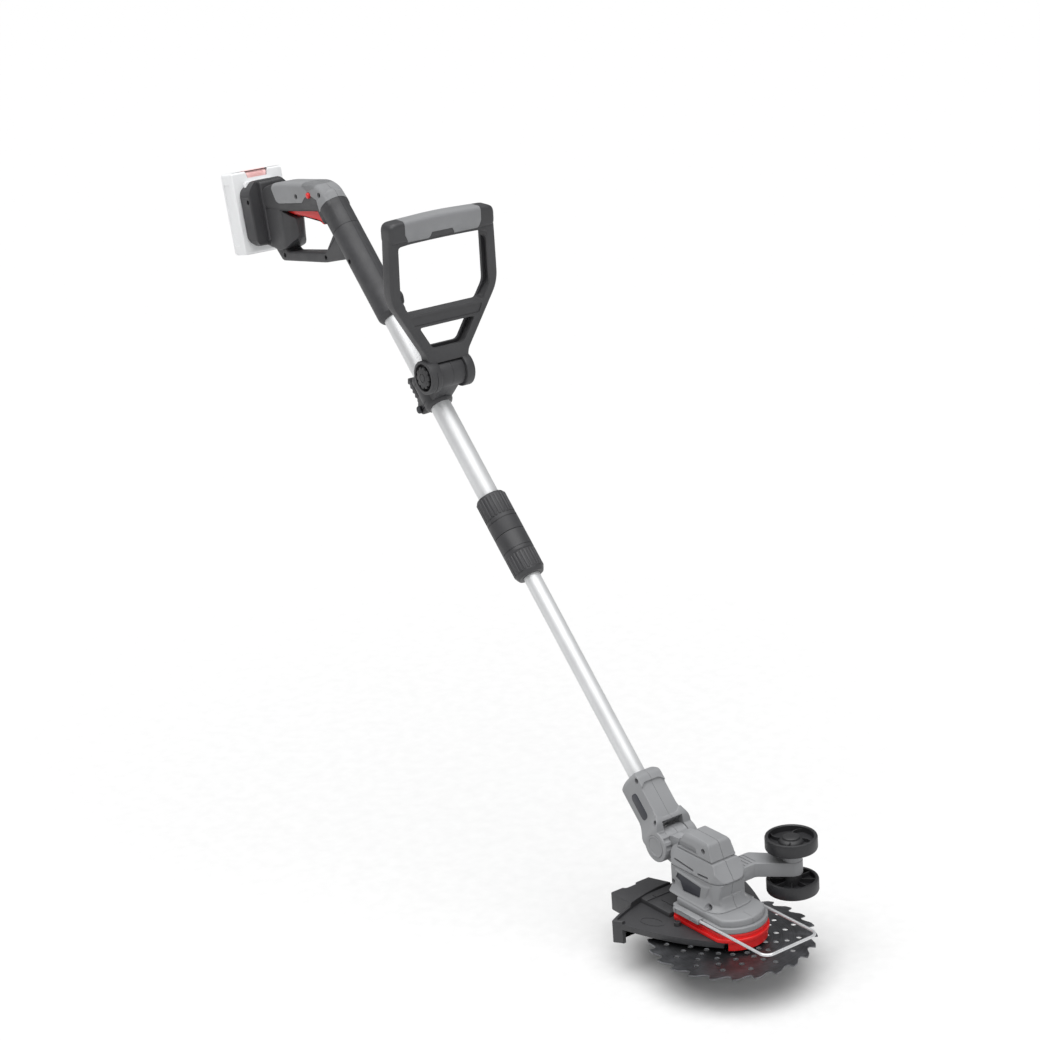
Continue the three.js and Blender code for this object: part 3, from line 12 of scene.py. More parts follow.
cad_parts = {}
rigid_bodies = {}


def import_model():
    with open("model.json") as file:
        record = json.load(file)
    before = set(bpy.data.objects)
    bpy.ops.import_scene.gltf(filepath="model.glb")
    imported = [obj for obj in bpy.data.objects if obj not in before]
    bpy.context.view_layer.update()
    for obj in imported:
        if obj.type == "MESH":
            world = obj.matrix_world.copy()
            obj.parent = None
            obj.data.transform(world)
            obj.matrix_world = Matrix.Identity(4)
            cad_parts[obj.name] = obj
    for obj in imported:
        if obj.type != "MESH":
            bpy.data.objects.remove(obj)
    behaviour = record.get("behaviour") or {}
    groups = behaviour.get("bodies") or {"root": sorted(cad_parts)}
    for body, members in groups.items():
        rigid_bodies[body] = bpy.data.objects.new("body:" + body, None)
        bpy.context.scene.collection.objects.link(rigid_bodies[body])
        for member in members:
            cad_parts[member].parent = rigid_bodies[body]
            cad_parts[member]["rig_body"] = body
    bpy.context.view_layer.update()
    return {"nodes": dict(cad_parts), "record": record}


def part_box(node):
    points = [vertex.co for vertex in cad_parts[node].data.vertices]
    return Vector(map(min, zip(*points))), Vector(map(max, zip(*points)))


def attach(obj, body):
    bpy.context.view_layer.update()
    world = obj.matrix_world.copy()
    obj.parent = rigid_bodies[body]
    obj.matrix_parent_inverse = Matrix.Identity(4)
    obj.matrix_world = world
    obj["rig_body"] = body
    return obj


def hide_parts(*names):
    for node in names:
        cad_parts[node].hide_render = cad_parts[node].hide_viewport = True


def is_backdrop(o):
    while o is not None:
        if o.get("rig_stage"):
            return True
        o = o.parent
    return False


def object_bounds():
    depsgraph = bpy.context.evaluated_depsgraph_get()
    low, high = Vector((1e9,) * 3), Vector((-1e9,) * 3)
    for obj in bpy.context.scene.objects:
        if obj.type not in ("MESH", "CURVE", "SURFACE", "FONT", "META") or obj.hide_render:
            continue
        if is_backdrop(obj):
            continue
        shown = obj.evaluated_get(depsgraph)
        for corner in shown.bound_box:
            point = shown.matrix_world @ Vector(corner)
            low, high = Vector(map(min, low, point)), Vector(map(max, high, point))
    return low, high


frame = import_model()

# ---- places and driving dimensions, in millimetres ----
MM = 0.001
ARBOR_LOW, ARBOR_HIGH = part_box("arbor")
BLADE_LOW, BLADE_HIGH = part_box("blade")
BLADE_CENTRE = Vector(
    (
        (ARBOR_LOW.x + ARBOR_HIGH.x) / 2,
        (ARBOR_LOW.y + ARBOR_HIGH.y) / 2,
        (BLADE_LOW.z + BLADE_HIGH.z) / 2,
    )
)
FLOOR_DROP = 0.03  # the tool is held this far above the floor, in metres

GAP = 0.3  # between pieces that touch
RUN = 0.08  # radial clearance of a turning fit
SPLIT = 0.15  # half the parting gap between moulded halves
ROUND = 40
FINE = 96
FAR = 2000

SHAFT_TILT = math.radians(-43)
SHAFT_FOOT_X = -17.7
UPPER_R, UPPER_BORE = 12.5, 11.2
LOWER_R, LOWER_BORE = 10, 8.8
UPPER_SPAN = (540, 895)
LOWER_SPAN = (134, 640)

KNUCKLE_S = 114
KNUCKLE_R = 18
TONGUE_W = 13.7
FORK_W = 14
KNUCKLE_W = 24.5
HOUSING_W = 16.5
TILT_AXLE_R = 4
TILT_BUTTON_R = 12.7
TILT_ROOM_R = 13.1

CLAMP_SPAN = (692, 736)
BARREL_S, BARREL_H = 712, 42
BARREL_R, BARREL_W = 16.5, 17
EAR_R, EAR_W = 20, 32
D_AXLE_R = 5
D_LEAN = math.radians(2.5)

BLADE_R = 92
BLADE_T = 1.4
TEETH = 24
TOOTH_PHASE = 4
HOLES_PER_RING = 15
HOLE_R = 3.1
HOLE_RINGS = ((71.8, 23.2), (59.5, 17), (48.5, 11.8), (37.8, 8.3))

GEAR_MODULE = 1.25
PINION_TEETH, GEAR_TEETH = 12, 36
MOTOR_X = -GEAR_MODULE * (PINION_TEETH + GEAR_TEETH) / 2
MOTOR_R = 17.8
ARBOR_R = 5

BASE_SIDE = 34
BASE_R = 39.5
BASE_REAR = -60
WIRE_R, WIRE_Z, WIRE_Y = 1.7, 30, 36.6

WHEEL_R, WHEEL_W = 28.8, 15.2
WHEEL_AT = (13.9, 77)
UPPER_WHEEL_Z, LOWER_WHEEL_Z = 86.2, 35.8
ARM_Z = (56.7, 73.6)
ARM_X = (-31.4, -4.4)  # the arm's root on the head
AXLE_R = 4

PACK_TILT = math.radians(-9.8)
PACK_AT = (-862, 694)


# ---- mesh tools ----
def mesh_of(bm):
    bmesh.ops.remove_doubles(bm, verts=bm.verts, dist=1e-4)
    bmesh.ops.recalc_face_normals(bm, faces=bm.faces)
    mesh = bpy.data.meshes.new("work")
    bm.to_mesh(mesh)
    bm.free()
    return mesh


def moved(mesh, matrix):
    mesh.transform(matrix)
    return mesh


def shift(mesh, x=0, y=0, z=0):
    return moved(mesh, Matrix.Translation((x, y, z)))


def turn(mesh, angle, axis):
    return moved(mesh, Matrix.Rotation(angle, 4, axis))


def outline(points, radius=0.0, steps=7):
    """A closed outline with rounded corners; a point may carry its own radius as a third value."""
    out = []
    count = len(points)
    for i, at in enumerate(points):
        here = Vector(at[:2])
        back = Vector(points[i - 1][:2]) - here
        ahead = Vector(points[(i + 1) % count][:2]) - here
        r = at[2] if len(at) > 2 else radius
        reach = min(r, back.length * 0.45, ahead.length * 0.45)
        if reach <= 0:
            out.append(here)
            continue
        start = here + back.normalized() * reach
        end = here + ahead.normalized() * reach
        for k in range(steps + 1):
            t = k / steps
            out.append(start * (1 - t) ** 2 + here * (2 * t * (1 - t)) + end * t**2)
    return out


def area(points):
    return sum(p[0] * q[1] - q[0] * p[1] for p, q in zip(points, points[1:] + points[:1])) / 2


def inset(points, by):
    """The outline moved inwards by the same distance all round, or outwards if it is negative."""
    inward = math.copysign(1, area(points)) * by
    out = []
    for i, at in enumerate(points):
        after = points[(i + 1) % len(points)]
        one = Vector((at[0] - points[i - 1][0], at[1] - points[i - 1][1])).normalized()
        two = Vector((after[0] - at[0], after[1] - at[1])).normalized()
        normal = Vector((-one.y - two.y, one.x + two.x)).normalized()
        miter = inward / max(0.3, normal.dot(Vector((-one.y, one.x))))
        out.append((at[0] + normal.x * miter, at[1] + normal.y * miter, *at[2:]))
    return out


def loft(rings):
    """A closed solid through rings of points with the same count."""
    bm = bmesh.new()
    made = [[bm.verts.new(p) for p in ring_points] for ring_points in rings]
    for low, high in zip(made, made[1:]):
        for i in range(len(low)):
            j = (i + 1) % len(low)
            bm.faces.new((low[i], low[j], high[j], high[i]))
    bm.faces.new(list(reversed(made[0])))
    bm.faces.new(made[-1])
    return mesh_of(bm)


def prism(points, z0, z1, bevel=0.0, steps=4):
    """The outline raised from z0 to z1, with its upper and lower edges rounded by bevel."""
    points = [tuple(p[:2]) for p in points]
    if area(points) < 0:
        points.reverse()
    if bevel <= 0:
        return loft([[(x, y, z) for x, y in points] for z in (z0, z1)])
    marks = [math.pi / 2 * k / steps for k in range(steps + 1)]
    levels = [(z0 + bevel * (1 - math.sin(a)), bevel * (1 - math.cos(a))) for a in reversed(marks)]
    levels += [(z1 - bevel * (1 - math.sin(a)), bevel * (1 - math.cos(a))) for a in marks]
    return loft([[(x, y, z) for x, y, *_ in inset(points, d)] for z, d in levels])


def side_prism(points, y0, y1, bevel=0.0, steps=4):
    """The outline's second axis becomes +Z, and the body spans y0 to y1."""
    return turn(prism(points, -y1, -y0, bevel, steps), math.pi / 2, "X")


def front_prism(points, x0, x1, bevel=0.0, steps=4):
    """The outline's axes become Y and Z, and the body spans x0 to x1."""
    return turn(turn(prism(points, x0, x1, bevel, steps), math.pi / 2, "X"), math.pi / 2, "Z")


def box(x0, x1, y0, y1, z0, z1, bevel=0.0):
    return prism([(x0, y0), (x1, y0), (x1, y1), (x0, y1)], z0, z1, bevel, 2)


def circle(r, x=0.0, y=0.0, facets=ROUND):
    marks = [2 * math.pi * i / facets for i in range(facets)]
    return [(x + r * math.cos(a), y + r * math.sin(a)) for a in marks]


def turned(profile, facets=FINE):
    """A body of revolution about Z from [radius, height] points, closed on the axis or on itself."""
    bm = bmesh.new()
    marks = [2 * math.pi * i / facets for i in range(facets)]
    columns = [[bm.verts.new((r * math.cos(a), r * math.sin(a), z)) for r, z in profile] for a in marks]
    pairs = list(zip(range(len(profile)), range(1, len(profile))))
    if profile[0][0] > 0:
        pairs.append((len(profile) - 1, 0))
    for i, column in enumerate(columns):
        following = columns[(i + 1) % facets]
        for a, b in pairs:
            corners = [column[a], following[a], following[b], column[b]]
            if profile[a][0] == 0:
                corners.pop(1)
            elif profile[b][0] == 0:
                corners.pop(2)
            bm.faces.new(corners)
    return mesh_of(bm)


def eased(profile, radius, steps=3):
    """A turned profile whose corners off the axis are rounded."""
    last = len(profile) - 1
    points = [(r, z, 0 if i in (0, last) and r == 0 else radius) for i, (r, z) in enumerate(profile)]
    if profile[0][0] > 0:
        return [tuple(p) for p in outline(points, 0, steps)]
    out = [profile[0]]
    for i in range(1, last):
        out += [tuple(p) for p in outline([points[i - 1], points[i], points[i + 1]], 0, steps)
                if (p - Vector(profile[i])).length <= radius * 1.01]
    return out + [profile[last]]


def rod(r, z0, z1, facets=ROUND, x=0.0, y=0.0):
    return prism(circle(r, x, y, facets), z0, z1)


def cross_rod(r, y0, y1, x, z, facets=ROUND, bevel=0.0):
    return side_prism(circle(r, x, z, facets), y0, y1, bevel, 3)


def ring(r_in, r_out, z0, z1, facets=FINE, ease=0.0):
    profile = [(r_in, z0), (r_out, z0), (r_out, z1), (r_in, z1)]
    return turned(eased(profile, ease) if ease else profile, facets)


def evaluated(mesh, *steps):
    obj = bpy.data.objects.new("work", mesh)
    bpy.context.scene.collection.objects.link(obj)
    for kind, settings in steps:
        modifier = obj.modifiers.new(kind, kind)
        for key, value in settings.items():
            setattr(modifier, key, value)
    bpy.context.view_layer.update()
    made = bpy.data.meshes.new_from_object(obj.evaluated_get(bpy.context.evaluated_depsgraph_get()))
    bpy.data.objects.remove(obj)
    return made


def boolean(operation, body, tools):
    for tool in tools:
        other = bpy.data.objects.new("tool", tool)
        bpy.context.scene.collection.objects.link(other)
        settings = {"operation": operation, "solver": "MANIFOLD", "object": other}
        body = evaluated(body, ("BOOLEAN", settings))
        bpy.data.objects.remove(other)
        if not body.polygons:
            raise RuntimeError(operation + " left nothing: a body isn't closed, or they don't meet")
    return body


def join(body, *others):
    return boolean("UNION", body, others)


def cut(body, *tools):
    return boolean("DIFFERENCE", body, tools)


def common(body, *others):
    return boolean("INTERSECT", body, others)


def moulded(mesh, voxel, passes):
    """The body with every edge and inner corner melted smooth, as a moulding's are."""
    return evaluated(
        mesh,
        ("REMESH", {"mode": "VOXEL", "voxel_size": voxel}),
        ("SMOOTH", {"factor": 0.5, "iterations": passes}),
    )


def right_half(mesh):
    return common(mesh, box(-FAR, FAR, -FAR, -SPLIT, -FAR, FAR))


def left_half(mesh):
    return common(mesh, box(-FAR, FAR, SPLIT, FAR, -FAR, FAR))


ON_SHAFT = Matrix.Translation((SHAFT_FOOT_X, 0, 0)) @ Matrix.Rotation(SHAFT_TILT, 4, "Y")
ON_PACK = Matrix.Translation((PACK_AT[0], 0, PACK_AT[1])) @ Matrix.Rotation(PACK_TILT, 4, "Y")
BARREL_AT = ON_SHAFT @ Vector((BARREL_H, 0, BARREL_S))
ON_HANDLE = Matrix.Translation(BARREL_AT) @ Matrix.Rotation(D_LEAN, 4, "Y")
PIVOT_AT = ON_SHAFT @ Vector((0, 0, KNUCKLE_S))


def on_shaft(mesh):
    return moved(mesh, ON_SHAFT)


def on_pack(mesh):
    return moved(mesh, ON_PACK)


def on_handle(mesh):
    return moved(mesh, ON_HANDLE)


def mirrored(points):
    return list(points) + [(-p[0], *p[1:]) for p in reversed(points)]


def ribbed(r_out, r_in, ribs, marks=(0, 0.5, 0.66, 0.84)):
    """A round outline with flat-topped ribs."""
    levels = (r_out, r_out, r_in, r_in)
    turns = [(2 * math.pi * (i + t) / ribs, r) for i in range(ribs) for t, r in zip(marks, levels)]
    return [(r * math.cos(a), r * math.sin(a)) for a, r in turns]


def swept(points, r, facets=20, spread=8):
    """A round wire along a smooth curve through the points, with closed ends."""
    path = [Vector(p) for p in points]
    dense = []
    for i in range(len(path) - 1):
        p0, p1 = path[max(i - 1, 0)], path[i]
        p2, p3 = path[i + 1], path[min(i + 2, len(path) - 1)]
        for k in range(spread):
            t = k / spread
            dense.append(0.5 * ((2 * p1) + (p2 - p0) * t + (2 * p0 - 5 * p1 + 4 * p2 - p3) * t * t
                                + (3 * p1 - p0 - 3 * p2 + p3) * t**3))
    dense.append(path[-1])
    rings, side = [], None
    for i, at in enumerate(dense):
        along = (dense[min(i + 1, len(dense) - 1)] - dense[max(i - 1, 0)]).normalized()
        if side is None:
            side = along.orthogonal()
        side = (side - along * side.dot(along)).normalized()
        up = along.cross(side)
        turns = [2 * math.pi * k / facets for k in range(facets)]
        rings.append([at + side * (r * math.cos(a)) + up * (r * math.sin(a)) for a in turns])
    return loft(rings)


# ---- screws lie along Y with their heads to the right ----
SCREW_HEAD_R = 2.4
SCREW_SHANK_R = 1.3
SCREW_HEAD_T = 2


def star(r_out, r_in, x, z, y0, y1):
    """A six-lobed recess along Y."""
    points = [((r_out if i % 2 else r_in), math.pi * i / 6) for i in range(12)]
    points = [(x + r * math.cos(a), z + r * math.sin(a)) for r, a in points]
    return side_prism(outline(points, 0.4, 3), y0, y1)


def screw(x, z, y_head, length):
    profile = [(0, 0), (SCREW_HEAD_R - 0.4, 0), (SCREW_HEAD_R, 0.4), (SCREW_HEAD_R, SCREW_HEAD_T),
               (SCREW_SHANK_R, SCREW_HEAD_T + 0.6)]
    z_mark = SCREW_HEAD_T + 1.5
    while z_mark < length - 2.5:
        profile += [(SCREW_SHANK_R, z_mark), (SCREW_SHANK_R - 0.25, z_mark + 0.5),
                    (SCREW_SHANK_R, z_mark + 1)]
        z_mark += 1
    profile += [(SCREW_SHANK_R, length - 1), (0, length)]
    body = shift(turn(turned(profile, 20), -math.pi / 2, "X"), x, y_head, z)
    return cut(body, star(1.5, 1.1, x, z, y_head - 1, y_head + 1.3))


def screw_hole(x, z, y_outside, y_head, length, mouth_r=SCREW_HEAD_R + GAP):
    mouth = join(cross_rod(mouth_r, y_outside, y_head - 0.6, x, z, 28),
                 cross_rod(SCREW_HEAD_R + GAP, y_head - 1, y_head + SCREW_HEAD_T + 0.9, x, z, 28))
    bore = cross_rod(SCREW_SHANK_R + GAP, y_head, y_head + length + GAP, x, z, 20)
    return join(mouth, bore)


# ---- telescopic shaft ----
COLLAR_R = 18.7
COLLAR_VALLEY_R = 17.9
COLLAR_JOINT = 511.7
COLLAR_TOP = 563.5
COLLAR_FOOT = 456.5
COLLAR_RIBS = 24


def upper_tube():
    return on_shaft(ring(UPPER_BORE, UPPER_R, *UPPER_SPAN, ease=0.4))


def lower_tube():
    return on_shaft(ring(LOWER_BORE, LOWER_R, *LOWER_SPAN, ease=0.4))


def guide_bush():
    body = ring(LOWER_R + RUN, UPPER_BORE - RUN, LOWER_SPAN[1] - 28, LOWER_SPAN[1] - 1, ease=0.4)
    return on_shaft(body)


def rib_band(z0, z1):
    """Raised ribs with rounded ends round a collar."""
    return prism(outline(ribbed(COLLAR_R, COLLAR_VALLEY_R - 0.2, COLLAR_RIBS), 0.35, 2), z0, z1, 0.5, 3)


def tube_lock_body():
    plain = turned(eased([(0, COLLAR_JOINT + GAP), (COLLAR_R, COLLAR_JOINT + GAP), (COLLAR_R, 533.5),
                          (COLLAR_VALLEY_R, 534.6), (COLLAR_VALLEY_R, COLLAR_TOP - 2.4), (16.4, COLLAR_TOP),
                          (0, COLLAR_TOP)], 0.7))
    spigot = rod(14, 492, 520, FINE)
    socket = rod(UPPER_R + RUN, UPPER_SPAN[0] - GAP, COLLAR_TOP + 1, FINE)
    bore = rod(LOWER_R + 0.5, 480, 600, FINE)
    line = cut(ring(COLLAR_R - 0.5, 30, 529.2, 530), box(-1, 1, -1, 1, 0, 1))
    return on_shaft(cut(join(plain, rib_band(535.4, COLLAR_TOP - 3), spigot), line, socket, bore))


def collar_nut():
    plain = turned(eased([(0, COLLAR_FOOT), (15.5, COLLAR_FOOT), (COLLAR_VALLEY_R, 461),
                          (COLLAR_VALLEY_R, 485.5), (COLLAR_R, 486.6), (COLLAR_R, COLLAR_JOINT),
                          (0, COLLAR_JOINT)], 0.7))
    socket = rod(14 + RUN, 490, 530, FINE)
    bore = rod(LOWER_R + 0.5, 440, 500, FINE)
    line = ring(COLLAR_R - 0.5, 30, 490.4, 491.2)
    return on_shaft(cut(join(plain, rib_band(462.4, 485)), line, socket, bore))


# ---- clamp on the upper tube, and the D-handle it carries ----
CLAMP_R = 17.2
LUG_S, LUG_H = 704, -23
LUG_IN, LUG_OUT = 5, 12
CLAMP_BOLT_R = 2.5
BARREL_MOUTH = 16.3  # radius of the recess round the push button
KNOB_R = 13.2
KNOB_RIBS = 10


def clamp_whole():
    foot, top = CLAMP_SPAN
    sleeve = turned(eased([(0, foot), (CLAMP_R - 2, foot), (CLAMP_R, foot + 3), (CLAMP_R, top - 3),
                           (CLAMP_R - 2, top), (0, top)], 1))
    barrel = cross_rod(BARREL_R, -BARREL_W, BARREL_W, BARREL_H, BARREL_S, FINE, 0.6)
    web = side_prism(outline([(4, foot + 3), (BARREL_H - 6, BARREL_S - BARREL_R + 1),
                              (BARREL_H, BARREL_S - BARREL_R + 0.3), (BARREL_H, BARREL_S + BARREL_R - 0.3),
                              (14, top - 1), (4, top - 2)]), -14, 14, 2)
    lug = outline([(-10, LUG_S - 11), (LUG_H - 1, LUG_S - 7), (LUG_H - 6, LUG_S), (LUG_H - 2, LUG_S + 7),
                   (-10, LUG_S + 16)], 3)
    lugs = [side_prism(lug, a, b, 0.7) for a, b in ((-LUG_OUT, -LUG_IN), (LUG_IN, LUG_OUT))]
    tube = rod(UPPER_R + RUN, foot - 5, top + 5, FINE)
    axle = cross_rod(D_AXLE_R + GAP, -40, 40, BARREL_H, BARREL_S)
    bolt = cross_rod(CLAMP_BOLT_R + GAP, -40, 40, LUG_H, LUG_S, 28)
    bands = [ring(CLAMP_R - 0.5, 40, foot + a, foot + a + 0.9) for a in (9, 34)]
    bands = [common(band, box(-40, 2, -40, 40, 600, 800)) for band in bands]
    return on_shaft(cut(join(sleeve, barrel, web, *lugs), tube, axle, bolt, *bands))


def clamp_bolt():
    shank = cross_rod(CLAMP_BOLT_R, -LUG_OUT - 3.5, LUG_OUT + 3.5, LUG_H, LUG_S, 28)
    head = side_prism(circle(4.5, LUG_H, LUG_S, 6), LUG_OUT + GAP, LUG_OUT + 3.5, 0.5)
    cap = cross_rod(4.5, -LUG_OUT - 3.5, -LUG_OUT - GAP, LUG_H, LUG_S, 32, 0.8)
    return on_shaft(join(shank, head, cap))


def clamp_lever():
    half = LUG_IN - GAP
    eye = cross_rod(5.2, -half, half, LUG_H, LUG_S, 40)
    arm = [(LUG_H - 1, LUG_S + 1, 0), (LUG_H - 5, LUG_S + 1, 0)]
    for i in range(6):
        s = LUG_S + 6 + i * 6.5
        arm += [(LUG_H - 7.5, s, 0.6), (LUG_H - 9.5, s + 1.5, 0.9), (LUG_H - 9.5, s + 3.5, 0.9),
                (LUG_H - 7.5, s + 5, 0.6)]
    arm += [(LUG_H - 4, LUG_S + 46, 2), (LUG_H - 2.5, LUG_S + 40, 2), (LUG_H - 2.5, LUG_S + 20, 2)]
    bore = cross_rod(CLAMP_BOLT_R + RUN, -40, 40, LUG_H, LUG_S, 28)
    return on_shaft(cut(join(eye, side_prism(outline(arm), -half, half, 0.5, 2)), bore))


def handle_pivot_axle():
    return on_shaft(cross_rod(D_AXLE_R, -24.4, 24.4, BARREL_H, BARREL_S, ROUND, 0.4))


D_DEPTH = 18
D_RAIL_OUT = 73
D_RAIL_IN = 61
D_TOP = 191
D_BAR = 11.6  # half depth of the top bar, front to back
FAR_EAR_W = 28.5
SADDLE_CORE = 6
SADDLE_W = 52.4
SADDLE_FOOT = 167
SADDLE_ROOF = 181.8
NOTCH = (-22, 18, 171.6)  # the bare stretch under the grip: from, to, up to


def top_bar():
    """The whole bar along the top: its middle is the soft grip, its ends belong to the frame."""
    arch = mirrored([(D_RAIL_OUT - 1.2, SADDLE_FOOT - 3, 7), (D_RAIL_OUT - 1, 188.5, 12),
                     (50, D_TOP - 1.5, 40), (12, D_TOP, 20)])
    return front_prism(outline(arch), -D_BAR, D_BAR, 5, 6)


def bare_parts(clear):
    """Where the frame shows through under the grip: a notch in the middle and a wedge at each end."""
    y0, y1, top = NOTCH
    notch = [(y0 + clear, 160), (y0 + 6 + clear, top - clear), (y1 - 6 - clear, top - clear),
             (y1 - clear, 160)]
    wedge = [(SADDLE_W + 1, 176.5 - clear), (45.5 + clear, 160), (SADDLE_W + 1, 160)]
    return [front_prism(points, -40, 40) for points in (notch, wedge, [(-y, z) for y, z in wedge])]


def d_handle_frame():
    outer = mirrored([(28, 6, 0), (28.5, 24, 5), (D_RAIL_OUT + 1, 97, 14), (D_RAIL_OUT - 0.5, 160, 30),
                      (D_RAIL_OUT - 2, 187, 11), (50, D_TOP - 2.5, 60), (12, D_TOP - 3, 20)])
    body = front_prism(outline(outer), -D_DEPTH / 2, D_DEPTH / 2, 3.2, 5)
    upper = mirrored([(50, 79, 3), (D_RAIL_IN + 1, 98, 6), (D_RAIL_IN, 160.5, 4), (46, 162, 20),
                      (12, 162.5, 20)])
    lower = mirrored([(21.5, 35, 5), (38.5, 62.5, 4)])
    windows = [front_prism(outline(points), -30, 30) for points in (upper, lower)]
    channel = mirrored([(54, 82, 3), (D_RAIL_IN + 6, 99, 6), (D_RAIL_IN + 5, 150, 9), (50, 158, 12)])
    inner = box(-30, 30, -SADDLE_W + 6, SADDLE_W - 6, 76, 170)
    channels = [cut(front_prism(outline(channel), -5, 5.6), inner),
                cut(front_prism(outline(inset(lower, -3.2)), -5, 5.6), box(-30, 30, -60, 60, 60, 80))]
    bar_panel = [(-45, 65.5, 2), (45, 65.5, 2), (49.5, 76, 2), (-49.5, 76, 2)]
    face = D_DEPTH / 2 - 0.9
    panels = [front_prism(outline(bar_panel), a, b) for a, b in ((face, 20), (-20, -face))]
    ears = [cross_rod(EAR_R, a, b, 0, 0, FINE, 1.4)
            for a, b in ((-EAR_W, -BARREL_W - GAP), (BARREL_W + GAP, FAR_EAR_W))]
    barrel_room = cross_rod(EAR_R - 0.8, -BARREL_W - GAP, BARREL_W + GAP, 0, 0, FINE)
    below = box(-30, 30, -60, 60, -60, 6)
    ends = cut(top_bar(), box(-30, 30, -SADDLE_W, SADDLE_W, 100, 250))
    seats = [box(SADDLE_CORE, 30, -SADDLE_W, SADDLE_W, SADDLE_FOOT - GAP, 210),
             box(-30, -SADDLE_CORE, -SADDLE_W, SADDLE_W, SADDLE_FOOT - GAP, 210),
             box(-30, 30, -SADDLE_W, SADDLE_W, SADDLE_ROOF - GAP, 210)]
    axle = cross_rod(D_AXLE_R + RUN, -24.8, 24.8, 0, 0)
    button_room = cross_rod(BARREL_MOUTH, -EAR_W - 1, -25.4, 0, 0, 64)
    cap_mark = cut(cross_rod(13.4, FAR_EAR_W - 0.9, FAR_EAR_W + 1, 0, 0, 64),
                   cross_rod(12.2, 0, 50, 0, 0, 64))
    frame_body = join(cut(body, *windows, *channels, below, barrel_room, *seats), ends)
    within = box(-40, 40, -SADDLE_W - 0.2, SADDLE_W + 0.2, SADDLE_FOOT - 3.5, 178)
    plugs = [common(top_bar(), bare, within.copy()) for bare in bare_parts(0.25)]
    frame_body = cut(join(frame_body, *plugs), *panels)
    rim_line = cut(cross_rod(30, -24.6, -24, 0, 0, FINE), cross_rod(EAR_R - 0.6, -40, 0, 0, 0, FINE),
                   box(-60, 60, -60, 0, 8, 60))
    return on_handle(cut(join(frame_body, *ears), axle, button_room, cap_mark, rim_line))


def d_handle_grip():
    core = box(-SADDLE_CORE - GAP, SADDLE_CORE + GAP, -60, 60, 150, SADDLE_ROOF)
    end = SADDLE_W - GAP
    middle = box(-40, 40, -end, end, SADDLE_FOOT - 3, 250)
    return on_handle(cut(common(top_bar(), middle), core, *bare_parts(0)))


def handle_tilt_button():
    face = -EAR_W - 0.8
    crown = side_prism(outline(ribbed(KNOB_R, KNOB_R - 2, KNOB_RIBS), 0.7, 3), face, -28.2, 0.8, 3)
    dome = turned([(0, -0.8), (5, -0.7), (9.2, -0.2), (9.8, 0.5), (9.8, 3.4), (0, 3.4)], 64)
    dimple = ring(4.4, 5.2, -1.2, 0, 48)
    dome = shift(turn(cut(dome, dimple), -math.pi / 2, "X"), 0, face, 0)
    return on_handle(join(crown, dome))


# ---- tilting joint between the shaft and the head ----
KNUCKLE_BADGE = [(-8.5, 146), (4.5, 146), (4.5, 177.5), (-8.5, 177.5)]
KNUCKLE_SCREWS = ((16.3, 186), (16.3, 134.5))
KNUCKLE_SCREW_HEAD = -12
KNUCKLE_SCREW_L = 22
NOTCH_ANGLES = (50, 22, -6, -34)  # finger notches round the fork, in degrees from straight ahead


def knuckle_whole():
    side = side_prism(outline([(-17.5, 128, 2), (-18, 190, 3), (-8, 196.5, 3), (14, 196.5, 3), (20.5, 190, 4),
                               (20.5, 133, 3), (14, 122, 3), (0, 100, 0), (-12, 104, 0)]), -60, 60)
    ears = cross_rod(KNUCKLE_R, -KNUCKLE_W, KNUCKLE_W, 0, KNUCKLE_S, FINE)
    front = front_prism(outline(mirrored([(KNUCKLE_W, 90, 0), (KNUCKLE_W, 128, 4), (HOUSING_W, 145, 6),
                                          (HOUSING_W, 192, 4), (11, 197, 3)])), -60, 60)
    face = outline(mirrored([(HOUSING_W - 5, 137, 4), (HOUSING_W + 3, 145, 0), (HOUSING_W + 3, 172, 0),
                             (HOUSING_W - 5, 181, 4)]))
    panel = front_prism(face, 18, 40)
    body = moulded(cut(common(join(side, ears), front), panel), 0.7, 3)
    slot = box(-40, 40, -FORK_W, FORK_W, 60, LOWER_SPAN[0] - 1)
    tube = rod(LOWER_R + GAP, LOWER_SPAN[0] - 0.5, 260, FINE)
    wire_way = rod(6, 120, 160)
    axle = cross_rod(TILT_AXLE_R + GAP, -19, 19, 0, KNUCKLE_S)
    room = cross_rod(TILT_ROOM_R, -KNUCKLE_W - 1, -19.3, 0, KNUCKLE_S, FINE)
    cap_mark = cut(cross_rod(TILT_ROOM_R, KNUCKLE_W - 0.8, KNUCKLE_W + 1, 0, KNUCKLE_S, FINE),
                   cross_rod(TILT_BUTTON_R - 0.4, 0, 40, 0, KNUCKLE_S, FINE))
    badge = side_prism(outline(KNUCKLE_BADGE, 6.4), -40, -HOUSING_W + 1.2)
    screws = [screw_hole(h, s, -40, KNUCKLE_SCREW_HEAD, KNUCKLE_SCREW_L, 3.3)
              for h, s in KNUCKLE_SCREWS]
    notches = []
    for angle in NOTCH_ANGLES:
        a = math.radians(angle)
        x, z = (KNUCKLE_R + 1.5) * math.cos(a), KNUCKLE_S + (KNUCKLE_R + 1.5) * math.sin(a)
        notches.append(cross_rod(3.3, -KNUCKLE_W + 2.2, -FORK_W + 1, x, z, 28))
    return cut(body, slot, tube, wire_way, axle, room, cap_mark, badge, *notches, *screws)


def knuckle_badge():
    plate = outline(inset(KNUCKLE_BADGE, GAP), 6.1)
    return on_shaft(side_prism(plate, -HOUSING_W - 0.3, -HOUSING_W + 0.9, 0.3, 3))


def head_tilt_axle():
    return on_shaft(cross_rod(TILT_AXLE_R, -18.8, 18.7, 0, KNUCKLE_S, ROUND, 0.4))


